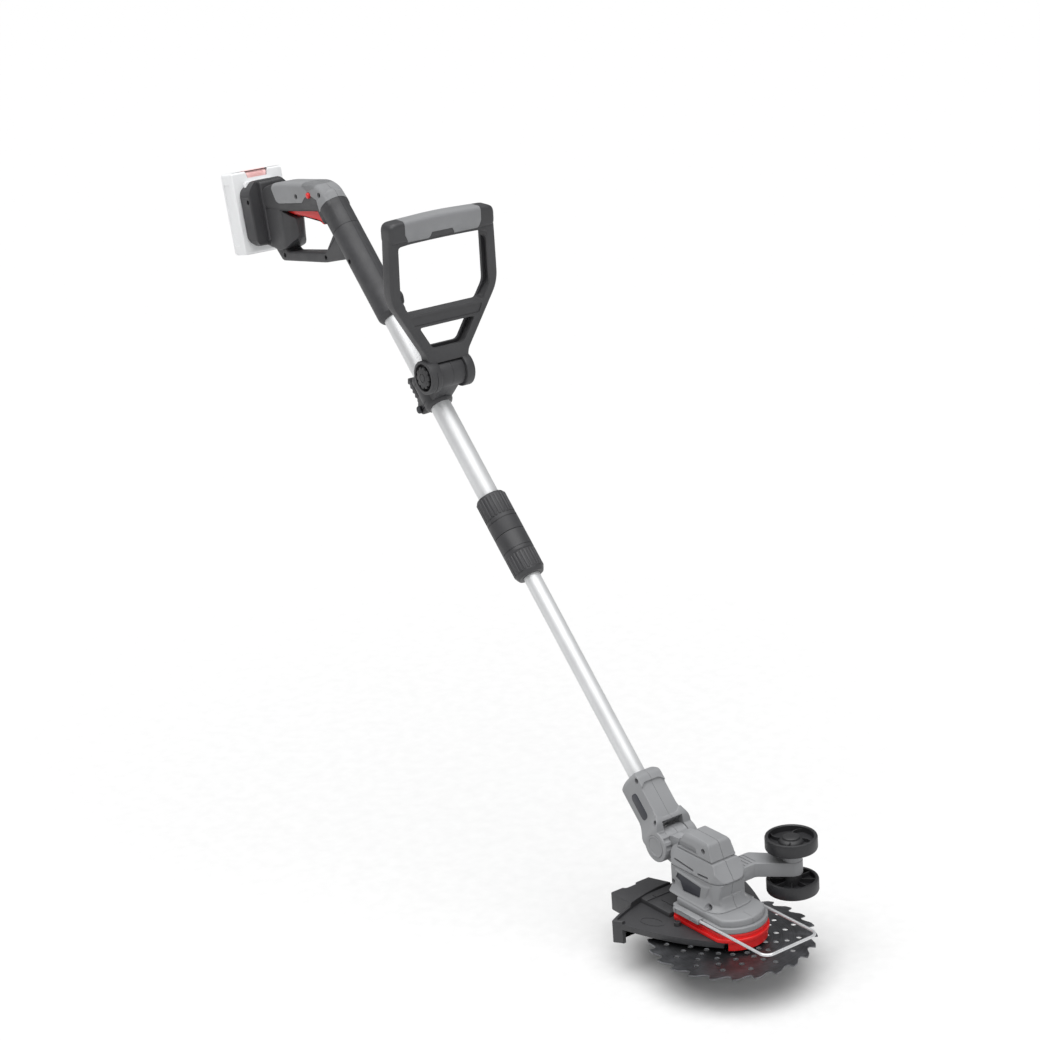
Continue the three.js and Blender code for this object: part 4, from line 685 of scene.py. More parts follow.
def head_tilt_button():
    profile = eased([(0, 0), (TILT_BUTTON_R, 0), (TILT_BUTTON_R, 3), (10.6, 3), (9.9, 2.2), (0, 2.5)],
                    0.5)
    return on_shaft(shift(turn(turned(profile), math.pi / 2, "X"), 0, -22, KNUCKLE_S))


# ---- cutting head ----
HEAD_W = 22
HEAD_FOOT = 40
FOOT_TOP = 53
FOOT_SPREAD = (1.08, 1.32)  # along X from the rear, and along Y
HEAD_SCREWS = ((-70, 50, -19, 34), (-6.5, 43, -19, 34), (-23, 100.5, -13.5, 25))
HEAD_BADGE = [(-60, 65), (-21, 60.4), (-24.4, 46.5), (-52.2, 45), (-57.3, 55.3), (-63.9, 57.6)]
HEAD_VOXEL = 0.6
BELT_Z = 69.3  # the crease round the housing's widest line
CAP_Z = 90.4  # the crease under the cap
HEAD_SIDE = [(4, HEAD_FOOT, 0), (5, 44, 2), (2, 51, 4), (5, 68, 3), (7.8, 70.5, 2), (0.5, 81, 3),
             (-5.5, 90, 3), (-8, 92, 1), (-16, 110.5, 4), (-54, 112, 5), (-66, 95, 4), (-74, 90, 4),
             (-77, 70, 4), (-77, HEAD_FOOT, 0)]
HEAD_PLAN = [(-77, -22, 9), (-77, 22, 9), (-10, 24, 14), (5.5, 18, 12), (9, 0, 20), (5.5, -18, 12),
             (-10, -24, 14)]
BADGE_FRAME = [(-65, 67.5), (-20, 63), (-8, 65), (-16, 46), (-22, 43), (-54.5, 41.5), (-60, 52.5),
               (-67, 55.5)]


def head_outer(shrink=0.0):
    front_points = mirrored([(23, HEAD_FOOT), (22.5, 46), (HEAD_W - 0.5, 52), (HEAD_W - 0.6, 68),
                             (HEAD_W + 0.7, 70.5), (21.4, 77), (18.4, 88), (17, 92.5), (15.6, 108),
                             (12.6, 112)])
    side = side_prism(outline(inset(HEAD_SIDE, shrink)), -60, 60)
    front = front_prism(outline(inset(front_points, shrink), 2), -120, 60)
    plan = prism(outline(inset(HEAD_PLAN, shrink)), 20, 130)
    return common(side, front, plan)


def head_foot():
    """The foot spreads in a hollow curve from the head's plan to the full width of the gearcase."""
    rear, levels = -76, 8
    plan = outline([(rear, -21, 9), (rear, 21, 9), (-10, 22.5, 14), (3, 17, 12), (5, 0, 20),
                    (3, -17, 12), (-10, -22.5, 14)])
    rings = []
    for k in range(levels + 1):
        t = k / levels
        share = (1 - t) ** 2.2
        across, along = 1 + (FOOT_SPREAD[1] - 1) * share, 1 + (FOOT_SPREAD[0] - 1) * share
        heights = [HEAD_FOOT - 0.5 + (FOOT_TOP - HEAD_FOOT + 0.5) * t]
        if k == 0:
            heights = [HEAD_FOOT - 2, HEAD_FOOT + 0.6]
        rings += [[(rear + (x - rear) * along, y * across, z) for x, y in plan] for z in heights]
    return loft(rings)


def crease(depth, z0, z1, x0, x1):
    """What a shallow groove round the head takes away."""
    return cut(box(x0, x1, -40, 40, z0, z1), head_outer(depth))


def head_whole():
    tongue = side_prism(outline([(-66, 62, 0), (-66, 100, 0), (-80, 99, 4), (-86, 95, 0), (-88, 67, 0),
                                 (-78, 64, 4)]), -TONGUE_W, TONGUE_W)
    boss = cross_rod(KNUCKLE_R - 1.5, -TONGUE_W, TONGUE_W, PIVOT_AT.x, PIVOT_AT.z, FINE)
    creases = [crease(1.7, BELT_Z, BELT_Z + 1.5, -80, 20), crease(1.8, CAP_Z, CAP_Z + 1.6, -66, 20)]
    frames = [side_prism(outline(BADGE_FRAME, 2), a, b, 0.9, 3) for a, b in ((-22.9, -15), (15, 22.9))]
    body = moulded(join(cut(head_outer(), *creases), head_foot(), *frames), HEAD_VOXEL, 3)
    body = join(body, tongue, boss)
    axle = cross_rod(TILT_AXLE_R + RUN, -40, 40, PIVOT_AT.x, PIVOT_AT.z)
    fork_room = [cross_rod(KNUCKLE_R + 0.8, a, b, PIVOT_AT.x, PIVOT_AT.z, FINE)
                 for a, b in ((-60, -FORK_W + 0.1), (FORK_W - 0.1, 60))]
    motor_room = rod(MOTOR_R + GAP, 30, 88, FINE, MOTOR_X)
    shaft_room = rod(7, 85, 96, ROUND, MOTOR_X)
    vents = []
    for x0, x1, z0, z1 in ((-67, -34, 78.2, 75.2), (-27.5, -10, 74.2, 75)):
        slot = outline([(x0, z0 - 1.2), (x1, z1 - 1.2), (x1, z1 + 1.2), (x0, z0 + 1.2)], 1.1)
        vents += [side_prism(slot, -40, -17.9), side_prism(slot, 17.9, 40)]
    tray = outline([(-64, 100.6), (-36, 100.6), (-32.5, 93.4), (-65.5, 93.4)], 1.2)
    trays = [side_prism(tray, -40, -14), side_prism(tray, 14, 40)]
    badge = side_prism(outline(HEAD_BADGE, 1), -40, -21)
    screws = [screw_hole(x, z, -40, y, length, 3.2) for x, z, y, length in HEAD_SCREWS]
    scoop_x, scoop_z = HEAD_SCREWS[1][:2]
    scoop = turn(turned([(0, 0), (3.4, 0), (9, 9), (0, 9)], 48), math.pi / 2, "X")
    scoop = cut(shift(scoop, scoop_x, -HEAD_W - 0.5, scoop_z + 0.8),
                box(-60, 60, -60, 60, 0, HEAD_FOOT + 0.8))
    arm_seat = box(ARM_X[0] - GAP, ARM_X[1] + GAP, HEAD_W - 1.5, 60, ARM_Z[0] - GAP, ARM_Z[1] + GAP)
    below = box(-100, 60, -60, 60, 20, HEAD_FOOT)
    seam = cut(box(-90, 60, -0.22, 0.22, 36, 120), cut_back(0.7))
    return cut(body, below, axle, *fork_room, motor_room, shaft_room, *vents, *trays, badge, *screws,
               scoop, arm_seat, seam)


def cut_back(depth):
    """The head drawn in all round, as the bottom of its parting groove."""
    core = side_prism(outline(inset(HEAD_SIDE, depth)), -60, 60)
    return common(core, prism(outline(inset(HEAD_PLAN, depth)), 0, 130))


def head_badge():
    return side_prism(outline(inset(HEAD_BADGE, GAP), 1), -22.1, -21, 0.3, 3)


def base_plan(side, radius, rear, rear_radius=6):
    """Straight sides and a round front, shared by the gearcase and the red base."""
    start = math.asin(side / radius)
    steps = 40
    marks = [-start + 2 * start * i / steps for i in range(steps + 1)]
    arc = [(radius * math.cos(a), radius * math.sin(a), 0) for a in marks]
    return outline([(rear, -side, rear_radius), *arc, (rear, side, rear_radius)])


CASE_Z = (25, 39.6)
CASE_STEP = 31.5
SLEEVE_X = (-50, -8)  # the sleeves that the wire guard slides in
SLEEVE_SLOTS = ((-46, -44.6, 27.6, 32), (-40, -24, 31, 32), (-22, -20.6, 27.6, 32),
                (-18, -10, 28, 29.2))
CROWN_SIDE, CROWN_R = 30.5, 36  # the gearcase's narrower upper step


def gearcase():
    rim = prism(base_plan(BASE_SIDE, BASE_R, BASE_REAR), CASE_Z[0], CASE_STEP, 1.1)
    crown = prism(base_plan(CROWN_SIDE, CROWN_R, BASE_REAR + 3), CASE_STEP - 2, CASE_Z[1], 2.4, 5)
    body = join(rim, crown)
    outer = WIRE_Y + WIRE_R + 1.5
    foot, roof = WIRE_Z - 3.4, WIRE_Z + 3
    slots = []
    for a, b, groove in ((-outer, -BASE_SIDE + 2, (-60, -outer + 0.9)),
                         (BASE_SIDE - 2, outer, (outer - 0.9, 60))):
        body = join(body, box(*SLEEVE_X, a, b, foot, roof, 0.8))
        slots += [box(x0, x1, *groove, z0, z1) for x0, x1, z0, z1 in SLEEVE_SLOTS]
    wires = [shift(turn(rod(WIRE_R + RUN, -100, 60, 32), math.pi / 2, "Y"), 0, y, WIRE_Z)
             for y in (-WIRE_Y, WIRE_Y)]
    gear_room = rod(25.2, 20, 35, FINE)
    pinion_room = rod(9.6, 20, 37, ROUND, MOTOR_X)
    shaft_way = rod(3.2, 20, 60, ROUND, MOTOR_X)
    bearing_seat = rod(9, 30, 38.6)
    skin = cut(box(15, 60, -1, 1, 24, 60),
               prism(base_plan(CROWN_SIDE - 0.5, CROWN_R - 0.5, BASE_REAR), 0, CASE_Z[1] - 0.4),
               prism(base_plan(BASE_SIDE - 0.5, BASE_R - 0.5, BASE_REAR), 0, CASE_STEP - 0.3))
    seam = common(box(20, 60, -0.2, 0.2, 24, 60), skin)
    return cut(body, *wires, *slots, gear_room, pinion_room, shaft_way, bearing_seat, seam)


SKIRT_FOOT = 5.5
RED_FOOT, RED_TOP = 15, 24.7


def red_base():
    wall = prism(base_plan(BASE_SIDE, BASE_R - 0.5, BASE_REAR + 1), RED_FOOT, RED_TOP, 0.8)
    band = cut(rod(BASE_R - 0.5, SKIRT_FOOT, RED_TOP - 1, FINE),
               rod(BASE_R - 3.5, SKIRT_FOOT - 1, RED_FOOT + 0.5, FINE))
    skirt = common(band, box(27, 60, -28.8, 28.8, 0, 40))
    ledge = prism(base_plan(BASE_SIDE + 2.4, BASE_R + 1.3, BASE_REAR + 3), RED_FOOT, RED_FOOT + 4.4, 0.7, 3)
    hollow = prism(base_plan(BASE_SIDE - 3, BASE_R - 3.5, BASE_REAR + 4), RED_FOOT - 1, RED_TOP - 3)
    boss = rod(15, RED_FOOT + 0.5, RED_TOP - 1, FINE)
    seat = rod(11 + GAP, 10, 22, FINE)
    bore = rod(ARBOR_R + 1, 5, 40)
    core = prism(base_plan(BASE_SIDE - 0.5, BASE_R - 1, BASE_REAR + 1.5), 0, 40)
    step = cut(prism(base_plan(60, 100, -100), 21.4, 22.1), core)
    return cut(join(cut(join(wall, skirt, ledge), hollow), boss), seat, bore, step)


# ---- motor and drive ----
CAN_Z = (41, 89)
MOTOR_SHAFT_R = 2.5


def motor_can():
    foot, top = CAN_Z
    outside = turned(eased([(0, foot), (MOTOR_R, foot), (MOTOR_R, top - 2), (MOTOR_R - 2, top), (0, top)],
                           0.8))
    inside = rod(MOTOR_R - 1.5, foot + 2, top - 2.5, FINE)
    shaft = rod(MOTOR_SHAFT_R + RUN, 0, 120)
    mouth = rod(6, foot - 1, foot + 1)
    ways = [turn(box(9, 15, -2.5, 2.5, 80, 100), i * 2 * math.pi / 3, "Z") for i in range(3)]
    return shift(cut(outside, inside, shaft, mouth, *ways), MOTOR_X)


def motor_rotor():
    core = prism(outline(ribbed(14, 12, 8), 0.5, 3), 50, 76)
    winding = turned(eased([(0, 46), (10.5, 46), (10.5, 80), (0, 80)], 1.5))
    return shift(join(core, winding, rod(5, 79, 84), rod(MOTOR_SHAFT_R, 27.6, 91)), MOTOR_X)


PRESSURE = math.radians(20)
BACKLASH = 0.14


def gear_outline(teeth, tip_add, root_cut, first_at):
    """A spur gear's outline with involute flanks; the first tooth points along the given angle."""
    pitch_r = GEAR_MODULE * teeth / 2
    base_r = pitch_r * math.cos(PRESSURE)
    tip_r, root_r = pitch_r + tip_add, pitch_r - root_cut

    def involute(r):
        angle = math.acos(min(1, base_r / r))
        return math.tan(angle) - angle

    half_pitch = math.pi / 2 / teeth - BACKLASH / pitch_r
    levels = [root_r, max(base_r, root_r + 0.2), pitch_r - 0.3, pitch_r + 0.2, tip_r - 0.25, tip_r]
    points = []
    for i in range(teeth):
        middle = first_at + 2 * math.pi * i / teeth
        flank = [(r, half_pitch + involute(pitch_r) - involute(max(r, base_r))) for r in levels]
        points += [(r, middle - half) for r, half in flank]
        points += [(r, middle + half) for r, half in reversed(flank)]
    return [(r * math.cos(a), r * math.sin(a)) for r, a in points]


def pinion():
    teeth = prism(gear_outline(PINION_TEETH, 0.95, 1.3, math.pi / PINION_TEETH), 27.8, 35.4, 0.2, 1)
    return shift(cut(teeth, rod(MOTOR_SHAFT_R + 0.05, 20, 60)), MOTOR_X)


def spur_gear():
    teeth = prism(gear_outline(GEAR_TEETH, 0.9, 1.4, math.pi), 28, 34, 0.2, 1)
    hub = turned(eased([(0, 26.8), (10, 26.8), (10, 34.2), (0, 34.2)], 0.4), ROUND)
    return cut(join(teeth, hub), rod(ARBOR_R + 0.05, 20, 60))


def arbor():
    return turned(eased([(0, -13), (ARBOR_R, -13), (ARBOR_R, 1), (14, 1), (14, 4.4), (7, 4.4), (7, 14.8),
                         (ARBOR_R, 14.8), (ARBOR_R, 34.8), (4, 34.8), (4, 38.4), (0, 38.4)], 0.3))


def bearing(inner, outer, z0, z1):
    body = ring(inner, outer, z0, z1, FINE, 0.3)
    middle = (inner + outer) / 2
    races = [ring(middle - 1, middle + 1, z0 - 1, z0 + 0.3), ring(middle - 1, middle + 1, z1 - 0.3, z1 + 1)]
    return cut(body, *races)


def bearing_upper():
    return bearing(4 + RUN, 8.9, 35.6, 38.4)


def bearing_lower():
    return bearing(ARBOR_R + RUN, 11, 15.2, 21.6)


def blade():
    pitch = 2 * math.pi / TEETH
    points = []
    # tip, flat back of the tooth, run down to the rounded gullet, raked face
    tooth = ((0, BLADE_R, 0.15), (0.3, BLADE_R - 1.2, 2), (0.52, BLADE_R - 4.8, 3),
             (0.74, BLADE_R - 7.4, 2.2), (0.9, BLADE_R - 7.4, 2.2), (0.965, BLADE_R - 5.4, 1))
    for i in range(TEETH):
        first = math.radians(TOOTH_PHASE) + i * pitch
        points += [(r * math.cos(first + t * pitch), r * math.sin(first + t * pitch), fillet)
                   for t, r, fillet in tooth]
    plate = prism(outline(points, 0, 4), -BLADE_T / 2, BLADE_T / 2)
    holes = bmesh.new()
    for r, phase in HOLE_RINGS:
        for i in range(HOLES_PER_RING):
            a = math.radians(phase) + 2 * math.pi * i / HOLES_PER_RING
            at = Matrix.Translation((r * math.cos(a), r * math.sin(a), 0))
            bmesh.ops.create_cone(holes, cap_ends=True, segments=28, radius1=HOLE_R, radius2=HOLE_R,
                                  depth=4, matrix=at)
    return cut(plate, mesh_of(holes), rod(ARBOR_R + 0.05, -5, 5))


def clamp_washer():
    return turned(eased([(ARBOR_R + 0.05, -1), (13, -1), (13, -2.4), (10, -4), (ARBOR_R + 0.05, -4)], 0.3))


def blade_nut():
    hexagon = prism(circle(9.2, 0, 0, 6), -10.6, -4.3)
    ends = turned([(0, -10.6), (8, -10.6), (9.6, -9.2), (9.6, -5.7), (8, -4.3), (0, -4.3)])
    return cut(common(hexagon, ends), rod(ARBOR_R + 0.05, -20, 0))


# ---- guards ----
GUARD_Z = (12, 14.7)
GUARD_WALL = 3.8
GUARD_HEEL_X = -84
GUARD_HALF = [(23.5, 30, 0), (13, 38, 8), (-16, 58, 20), (-52, 74, 20), (-84, 84, 8), (-94, 91, 2),
              (-101, 77, 14), (-110, 52, 20), (-116, 28, 20), (-118.5, 8, 20)]
SPINE_REAR = -114
SPINE_W = 37
POSTS = ((-41, -42), (-41, 42))


def guard_plan(by=0.0):
    """The guard's outline from above, drawn in by the given distance."""
    return outline(inset(GUARD_HALF + [(x, -y, r) for x, y, r in reversed(GUARD_HALF)], by), 0, 5)


def blade_guard():
    inside = prism(guard_plan(GUARD_WALL), -10, 30)
    plate = prism(guard_plan(), *GUARD_Z)
    ahead = box(GUARD_HEEL_X, 60, -100, 100, -20, 30)
    wall = cut(prism(guard_plan(), -9, 17.8, 1.2, 4), inside.copy(), ahead)
    band = cut(prism(guard_plan(), 7.5, GUARD_Z[1], 0.7, 2), prism(guard_plan(2.6), 0, 20))
    lips = [common(band, box(GUARD_HEEL_X - 1.6, 22, a, b, 0, 20)) for a, b in ((-90, -30), (30, 90))]
    block_plan = outline([(-141, -55), (-95, -55), (-105, 10), (-112, 10), (-141, -1), (-141, -20),
                          (-137.5, -22), (-137.5, -36), (-141, -38)], 1.8)
    block = cut(prism(block_plan, 0, 22, 1.6, 4), inside)
    spine = box(SPINE_REAR, BASE_REAR - 0.5, -SPINE_W, SPINE_W, GUARD_Z[0], 20, 2.2)
    posts = [rod(3.6, GUARD_Z[0], 19, ROUND, *at) for at in POSTS]
    spine_hollow = box(SPINE_REAR + 3.5, BASE_REAR - 3, -SPINE_W + 2.5, SPINE_W - 2.5, 8, 17.5)
    block_hollow = prism(outline([(-138, -52), (-121, -52), (-121, 1), (-138, -5)]), -5, 19.5)
    arbor_way = rod(18, 0, 30)
    ribs = [box(SPINE_REAR + 1, BASE_REAR - 1, y - 0.9, y + 0.9, GUARD_Z[0], 18.5) for y in (-26, 0, 26)]
    shell = cut(join(plate, wall, *lips, block, spine, *posts), spine_hollow, block_hollow, arbor_way)
    spine_line = box(-106, BASE_REAR + 1, -24, -23, 19.2, 21)
    spine_step = box(-100, -92, -40, 40, 19.1, 21)
    dips = [rod(2.6, 17.6, 20, 28, *at) for at in POSTS]
    caps = [cut(rod(2.2, 17.4, 18.6, 28, *at), rod(1, 10, 30, 6, *at)) for at in POSTS]
    rims = []
    for side in (-1, 1):
        rim = moved(ring(0.88, 1, GUARD_Z[1] - 0.2, GUARD_Z[1] + 0.45, 64), Matrix.Diagonal((15, 8, 1, 1)))
        rims.append(shift(turn(rim, side * math.radians(-20), "Z"), -66, side * 57))
    return join(join(cut(shell, *dips, spine_line, spine_step), *caps), *ribs, *rims)


def wire_guard():
    front, bend = 98, 10
    half = [(-52, WIRE_Y), (-20, WIRE_Y), (20, WIRE_Y), (60, WIRE_Y), (80, WIRE_Y)]
    for i in range(6):
        a = math.pi / 2 * (1 - i / 5)
        half.append((front - bend + bend * math.cos(a), WIRE_Y - bend + bend * math.sin(a)))
    half += [(front, 15)]
    path = half + [(x, -y) for x, y in reversed(half)]
    return swept([(x, y, WIRE_Z) for x, y in path], WIRE_R - 0.02)


# ---- wheels ----
def wheel_arm():
    wx, wy = WHEEL_AT
    end_r, bend = 11.8, math.radians(39)
    side = (end_r * math.cos(bend), -end_r * math.sin(bend))
    points = [(ARM_X[0], HEAD_W - 1.2, 0), (ARM_X[1], HEAD_W - 1.2, 0), (ARM_X[1], 41, 2.5),
              (wx + side[0], wy + side[1], 0)]
    for i in range(1, 24):
        a = -bend + math.pi * i / 24
        points.append((wx + end_r * math.cos(a), wy + end_r * math.sin(a), 0))
    points += [(wx - side[0], wy - side[1], 0), (ARM_X[0], 53, 4)]
    beam = prism(outline(points), *ARM_Z, 1.3, 4)
    top = UPPER_WHEEL_Z - GAP
    boss = shift(turned(eased([(0, 60), (end_r - 0.6, 60), (end_r - 0.6, top), (0, top)], 0.5)), wx, wy)
    grooves = [box(-29, -8, y, y + 1.9, ARM_Z[1] - 0.9, ARM_Z[1] + 5, 0.4)
               for y in (27.5, 32.5, 37.5, 42.5)]
    return cut(join(beam, boss), *grooves, rod(AXLE_R + GAP, 0, 120, ROUND, wx, wy))


WEB_Z = (6.2, 8.2)
HUB_TOP = 12.8


def wheel(hub_foot):
    """A wheel standing on its inner face, with curved ribs outside its web and straight ones inside."""
    half = [(24.8, 0.8), (25.4, 0.2), (26, 0), (WHEEL_R - 2, 0), (WHEEL_R - 0.6, 0.6), (WHEEL_R, 2)]
    rim = turned(half + [(r, WHEEL_W - z) for r, z in reversed(half)])
    web = ring(9, 25.2, *WEB_Z)
    hub = ring(AXLE_R + RUN, 10, hub_foot, HUB_TOP, FINE, 0.5)
    collar = turned([(9.8, WEB_Z[1] - 0.5), (14.5, WEB_Z[1] - 0.5), (14, 9.6), (12.2, 11.4), (9.8, 12.3)])
    ribs = []
    for i in range(4):
        path = [(r, i * math.pi / 2 + 0.75 - 0.42 * ((r - 12) / 13) ** 2)
                for r in (12, 15, 18, 21, 24, 25.2)]
        curve = [[(r * math.cos(a + d / r), r * math.sin(a + d / r)) for r, a in path]
                 for d in (-0.75, 0.75)]
        ribs.append(prism(curve[0] + curve[1][::-1], WEB_Z[1] - 0.5, WHEEL_W - 3))
    spokes = [turn(box(9, 25.2, -0.8, 0.8, 1.6, WEB_Z[0] + 0.5), i * math.pi / 4, "Z")
              for i in range(8)]
    return join(rim, web, hub, collar, *ribs, *spokes)


def wheel_upper():
    return shift(wheel(0.4), *WHEEL_AT, UPPER_WHEEL_Z)


def wheel_lower():
    """Hung the other way up, its hub reaching to the underside of the arm."""
    hub_foot = LOWER_WHEEL_Z + WHEEL_W - ARM_Z[0] + GAP
    return shift(turn(wheel(hub_foot), math.pi, "X"), *WHEEL_AT, LOWER_WHEEL_Z + WHEEL_W)


def wheel_axle():
    top = UPPER_WHEEL_Z + WHEEL_W
    foot = LOWER_WHEEL_Z
    profile = [(0, foot - 2.6), (6.6, foot - 2.6), (6.6, foot + 0.1), (AXLE_R, foot + 0.1), (AXLE_R, top - 2),
               (9.6, top - 2), (9.4, top - 1.5), (7.6, top - 0.6), (4, top - 0.1), (0, top)]
    return shift(turned(profile), *WHEEL_AT)


# ---- rear handle ----
HOUSING_R = 17.8
HOUSING_SPAN = (817, 1001)
GRIP_W = 16
SEAM_S = 985
TRIGGER_W = 6.8
LOCK_AT = (-720, 731)
LOCK_R = 3.6
STRAP_HOLE_R = 4.4
HANDLE_SCREWS = ((-751, 726, -12.5, 22), (-696, 734, -12.5, 22), (-800, 645.5, -8, 17), (-701, 656, -8, 17),
                 (-636, 661, -13, 24), (-845, 710, -27, 12))
GRIP_SIDE = [(-838, 700.5, 9), (-838, 727, 10), (-800, 738.5, 30), (-713, 747.5, 12), (-694, 743, 12),
             (-670, 721, 10), (-694, 698, 0), (-706, 712.5, 0), (-806, 700.5, 0)]
CORE_SIDE = [(-838, 706, 0), (-838, 724, 6), (-800, 735.6, 30), (-714, 744.6, 12), (-696, 740.4, 12),
             (-673, 719, 0), (-694, 704, 0), (-706, 716, 0), (-806, 706, 0)]
BOX_W = 15
NECK_W = 16.6
BOX_SIDE = [(-842, 700, 0), (-842, 655, 5), (-803, 651, 6), (-789, 657, 4), (-771, 672, 5), (-774, 695, 2),
            (-792, 703, 0), (-800, 708, 0)]
BOX_PLAN = [(-850, -BOX_W, 0), (-791, -BOX_W, 3), (-779, -10, 3), (-771, -3, 4), (-771, 3, 4), (-779, 10, 3),
            (-791, BOX_W, 3), (-850, BOX_W, 0)]


def soft_region():
    low = ON_SHAFT @ Vector((-11, 0, SEAM_S))
    high = ON_SHAFT @ Vector((34, 0, SEAM_S))
    return [(-806, 765), (-810, 729), (-801, 714.5), (-794, 712.2), (-738, 719.5), (-730, 727), (-718, 731.5),
            (-703, 727), (low.x, low.z), (high.x, high.z), (-668, 765)]


def handle_outer():
    grip = side_prism(outline(GRIP_SIDE), -GRIP_W, GRIP_W, 6, 7)
    housing = on_shaft(turned(eased([(0, HOUSING_SPAN[0]), (HOUSING_R - 3, HOUSING_SPAN[0]),
                                     (HOUSING_R, HOUSING_SPAN[0] + 5), (HOUSING_R, HOUSING_SPAN[1] - 6),
                                     (HOUSING_R - 5, HOUSING_SPAN[1]), (0, HOUSING_SPAN[1])], 2)))
    bow = side_prism(outline([(-838, 664, 0), (-822, 651, 0), (-807, 637.5, 4), (-704, 649, 5),
                              (-654, 660, 0), (-642, 670, 0), (-678, 690, 0), (-701, 662.5, 5),
                              (-790, 651, 4), (-801, 658, 3), (-806, 668, 0)]), -11, 11, 2.4)
    box_side = side_prism(outline(BOX_SIDE), -BOX_W, BOX_W, 2.5)
    electronics = common(box_side, prism(outline(BOX_PLAN), 600, 760))
    neck = outline([(10, -39, 4), (33, -38, 3), (34, 0, 6), (33, 36, 4), (12, 37.5, 4)])
    neck = on_pack(side_prism(neck, -NECK_W, NECK_W, 1.5))
    dock_side = side_prism(outline([(0, -33, 4), (0, 30, 4), (11, 38, 4), (25, 39, 4), (25, -43, 4),
                                    (14, -43, 4)]), -31, 31, 2.4)
    dock_front = mirrored([(31, -37, 4), (31, 25, 8), (17, 40, 8)]) + [(-25, -44, 4), (25, -44, 4)]
    flange = on_pack(common(dock_side, front_prism(outline(dock_front), -5, 30)))
    eye = on_shaft(side_prism(outline([(14, 822, 0), (14, 842, 0), (30, 839, 4), (36, 832, 3), (36.5, 826, 3),
                                       (31, 818, 3)]), -3, 3, 1))
    return join(grip, housing, bow, electronics, neck, flange, eye)


def handle_whole():
    outside = handle_outer()
    core = common(side_prism(outline(CORE_SIDE), -13, 13, 3), outside.copy())
    tube_core = common(on_shaft(rod(14.8, SEAM_S - 10, 998, FINE)), outside.copy())
    soft = side_prism(outline(soft_region()), -60, 60)
    shell = join(cut(outside, soft), core, tube_core)
    tube_seat = on_shaft(rod(UPPER_R + GAP, 800, UPPER_SPAN[1] + GAP, FINE))
    wire_way = on_shaft(rod(9.5, UPPER_SPAN[1] - 1, 985))
    grip_room = side_prism([(-812, 708), (-812, 725), (-716, 738), (-704, 722), (-716, 712)], -10.3, 10.3)
    slot = side_prism([(-809, 698.4), (-752, 697.4), (-745, 690), (-690, 688), (-688, 708), (-694, 724),
                       (-809, 712)], -TRIGGER_W - 0.5, TRIGGER_W + 0.5)
    box_room = side_prism([(-830, 697), (-830, 660), (-803, 657), (-792, 661.5), (-777, 675), (-779, 691),
                           (-792, 697)], -BOX_W + 3, BOX_W - 3)
    box_room = common(box_room, prism(outline(inset(BOX_PLAN, 3)), 600, 760))
    shell = cut(shell, join(grip_room, tube_seat, wire_way), box_room)
    bosses = [cross_rod(4, -12, 12, x, z, 28) for x, z, *_ in (HANDLE_SCREWS[0], HANDLE_SCREWS[4])]
    rails = on_pack(join(box(-2, 5.9, -20, 20, -26, 90), box(5.2, 10.9, -25, 25, -26, 90),
                         box(10, 17.4, -15, 15, -24, 20)))
    lock = cross_rod(LOCK_R + RUN, -40, 15.6, *LOCK_AT, 48)
    eye_hole = on_shaft(cross_rod(STRAP_HOLE_R, -10, 10, 29, 830, 32))
    screws = [screw_hole(x, z, -60, y, length, 3) for x, z, y, length in HANDLE_SCREWS]
    return cut(join(shell, *bosses), slot, rails, lock, eye_hole, *handle_lines(), *screws)


def handle_lines():
    """The shallow mould lines of the rear handle: round the dock's neck and across the housing."""
    core = box(20, 40, 0.9 - NECK_W, NECK_W - 0.9, -36.5, 35)
    neck_line = on_pack(cut(box(28, 29.2, -60, 60, -60, 60), core))
    housing_line = on_shaft(ring(HOUSING_R - 0.4, 40, 948, 948.6))
    return [neck_line, common(housing_line, box(-760, -600, -60, 60, 640, 900))]


def rear_grip_cover():
    soft = side_prism(outline(inset(soft_region(), GAP)), -60, 60)
    core = side_prism(outline(inset(CORE_SIDE, -GAP)), -13 - GAP, 13 + GAP, 2.6)
    tube_core = on_shaft(rod(14.8 + GAP, SEAM_S - 40, 998 + GAP, FINE))
    lock = cross_rod(LOCK_R + 0.6, -40, 40, *LOCK_AT, 48)
    screws = [cross_rod(3.4, -40, 0, x, z, 28) for x, z, *_ in HANDLE_SCREWS[:2]]
    seam = box(-860, -640, -0.2, 0.2, 600, 800)
    seam = cut(seam, side_prism(outline(inset(GRIP_SIDE, 0.5)), -5, 5))
    return cut(common(handle_outer(), soft), core, tube_core, lock, seam, thumb_rest(), *screws)


def thumb_rest():
    """Fine slanted grooves above the lock-off button, only as deep as the grip's skin."""
    count, pitch, width, first_x, foot, top = 13, 2.2, 0.7, -737, 736, 752
    lines = []
    for i in range(count):
        short = 0.7 * abs(i - count // 2)
        low, high = foot + short, top - short * 0.4
        left = [(first_x + i * pitch + (z - foot) * 0.5, z) for z in (low, high)]
        right = [(x + width, z) for x, z in left]
        lines.append([left[0], right[0], right[1], left[1]])
    grooves = join(*[side_prism(line, -40, 40) for line in lines])
    return cut(grooves, side_prism(outline(inset(GRIP_SIDE, 0.4)), -GRIP_W + 0.4, GRIP_W - 0.4, 6, 7))


def trigger():
    side = outline([(-807, 699.6, 2), (-716, 698.5, 4), (-706.5, 695, 2), (-700, 697, 2), (-704, 707, 0),
                    (-716, 711, 0), (-800, 707.5, 3), (-807, 706, 2)])
    return side_prism(side, -TRIGGER_W, TRIGGER_W, 1.6, 5)


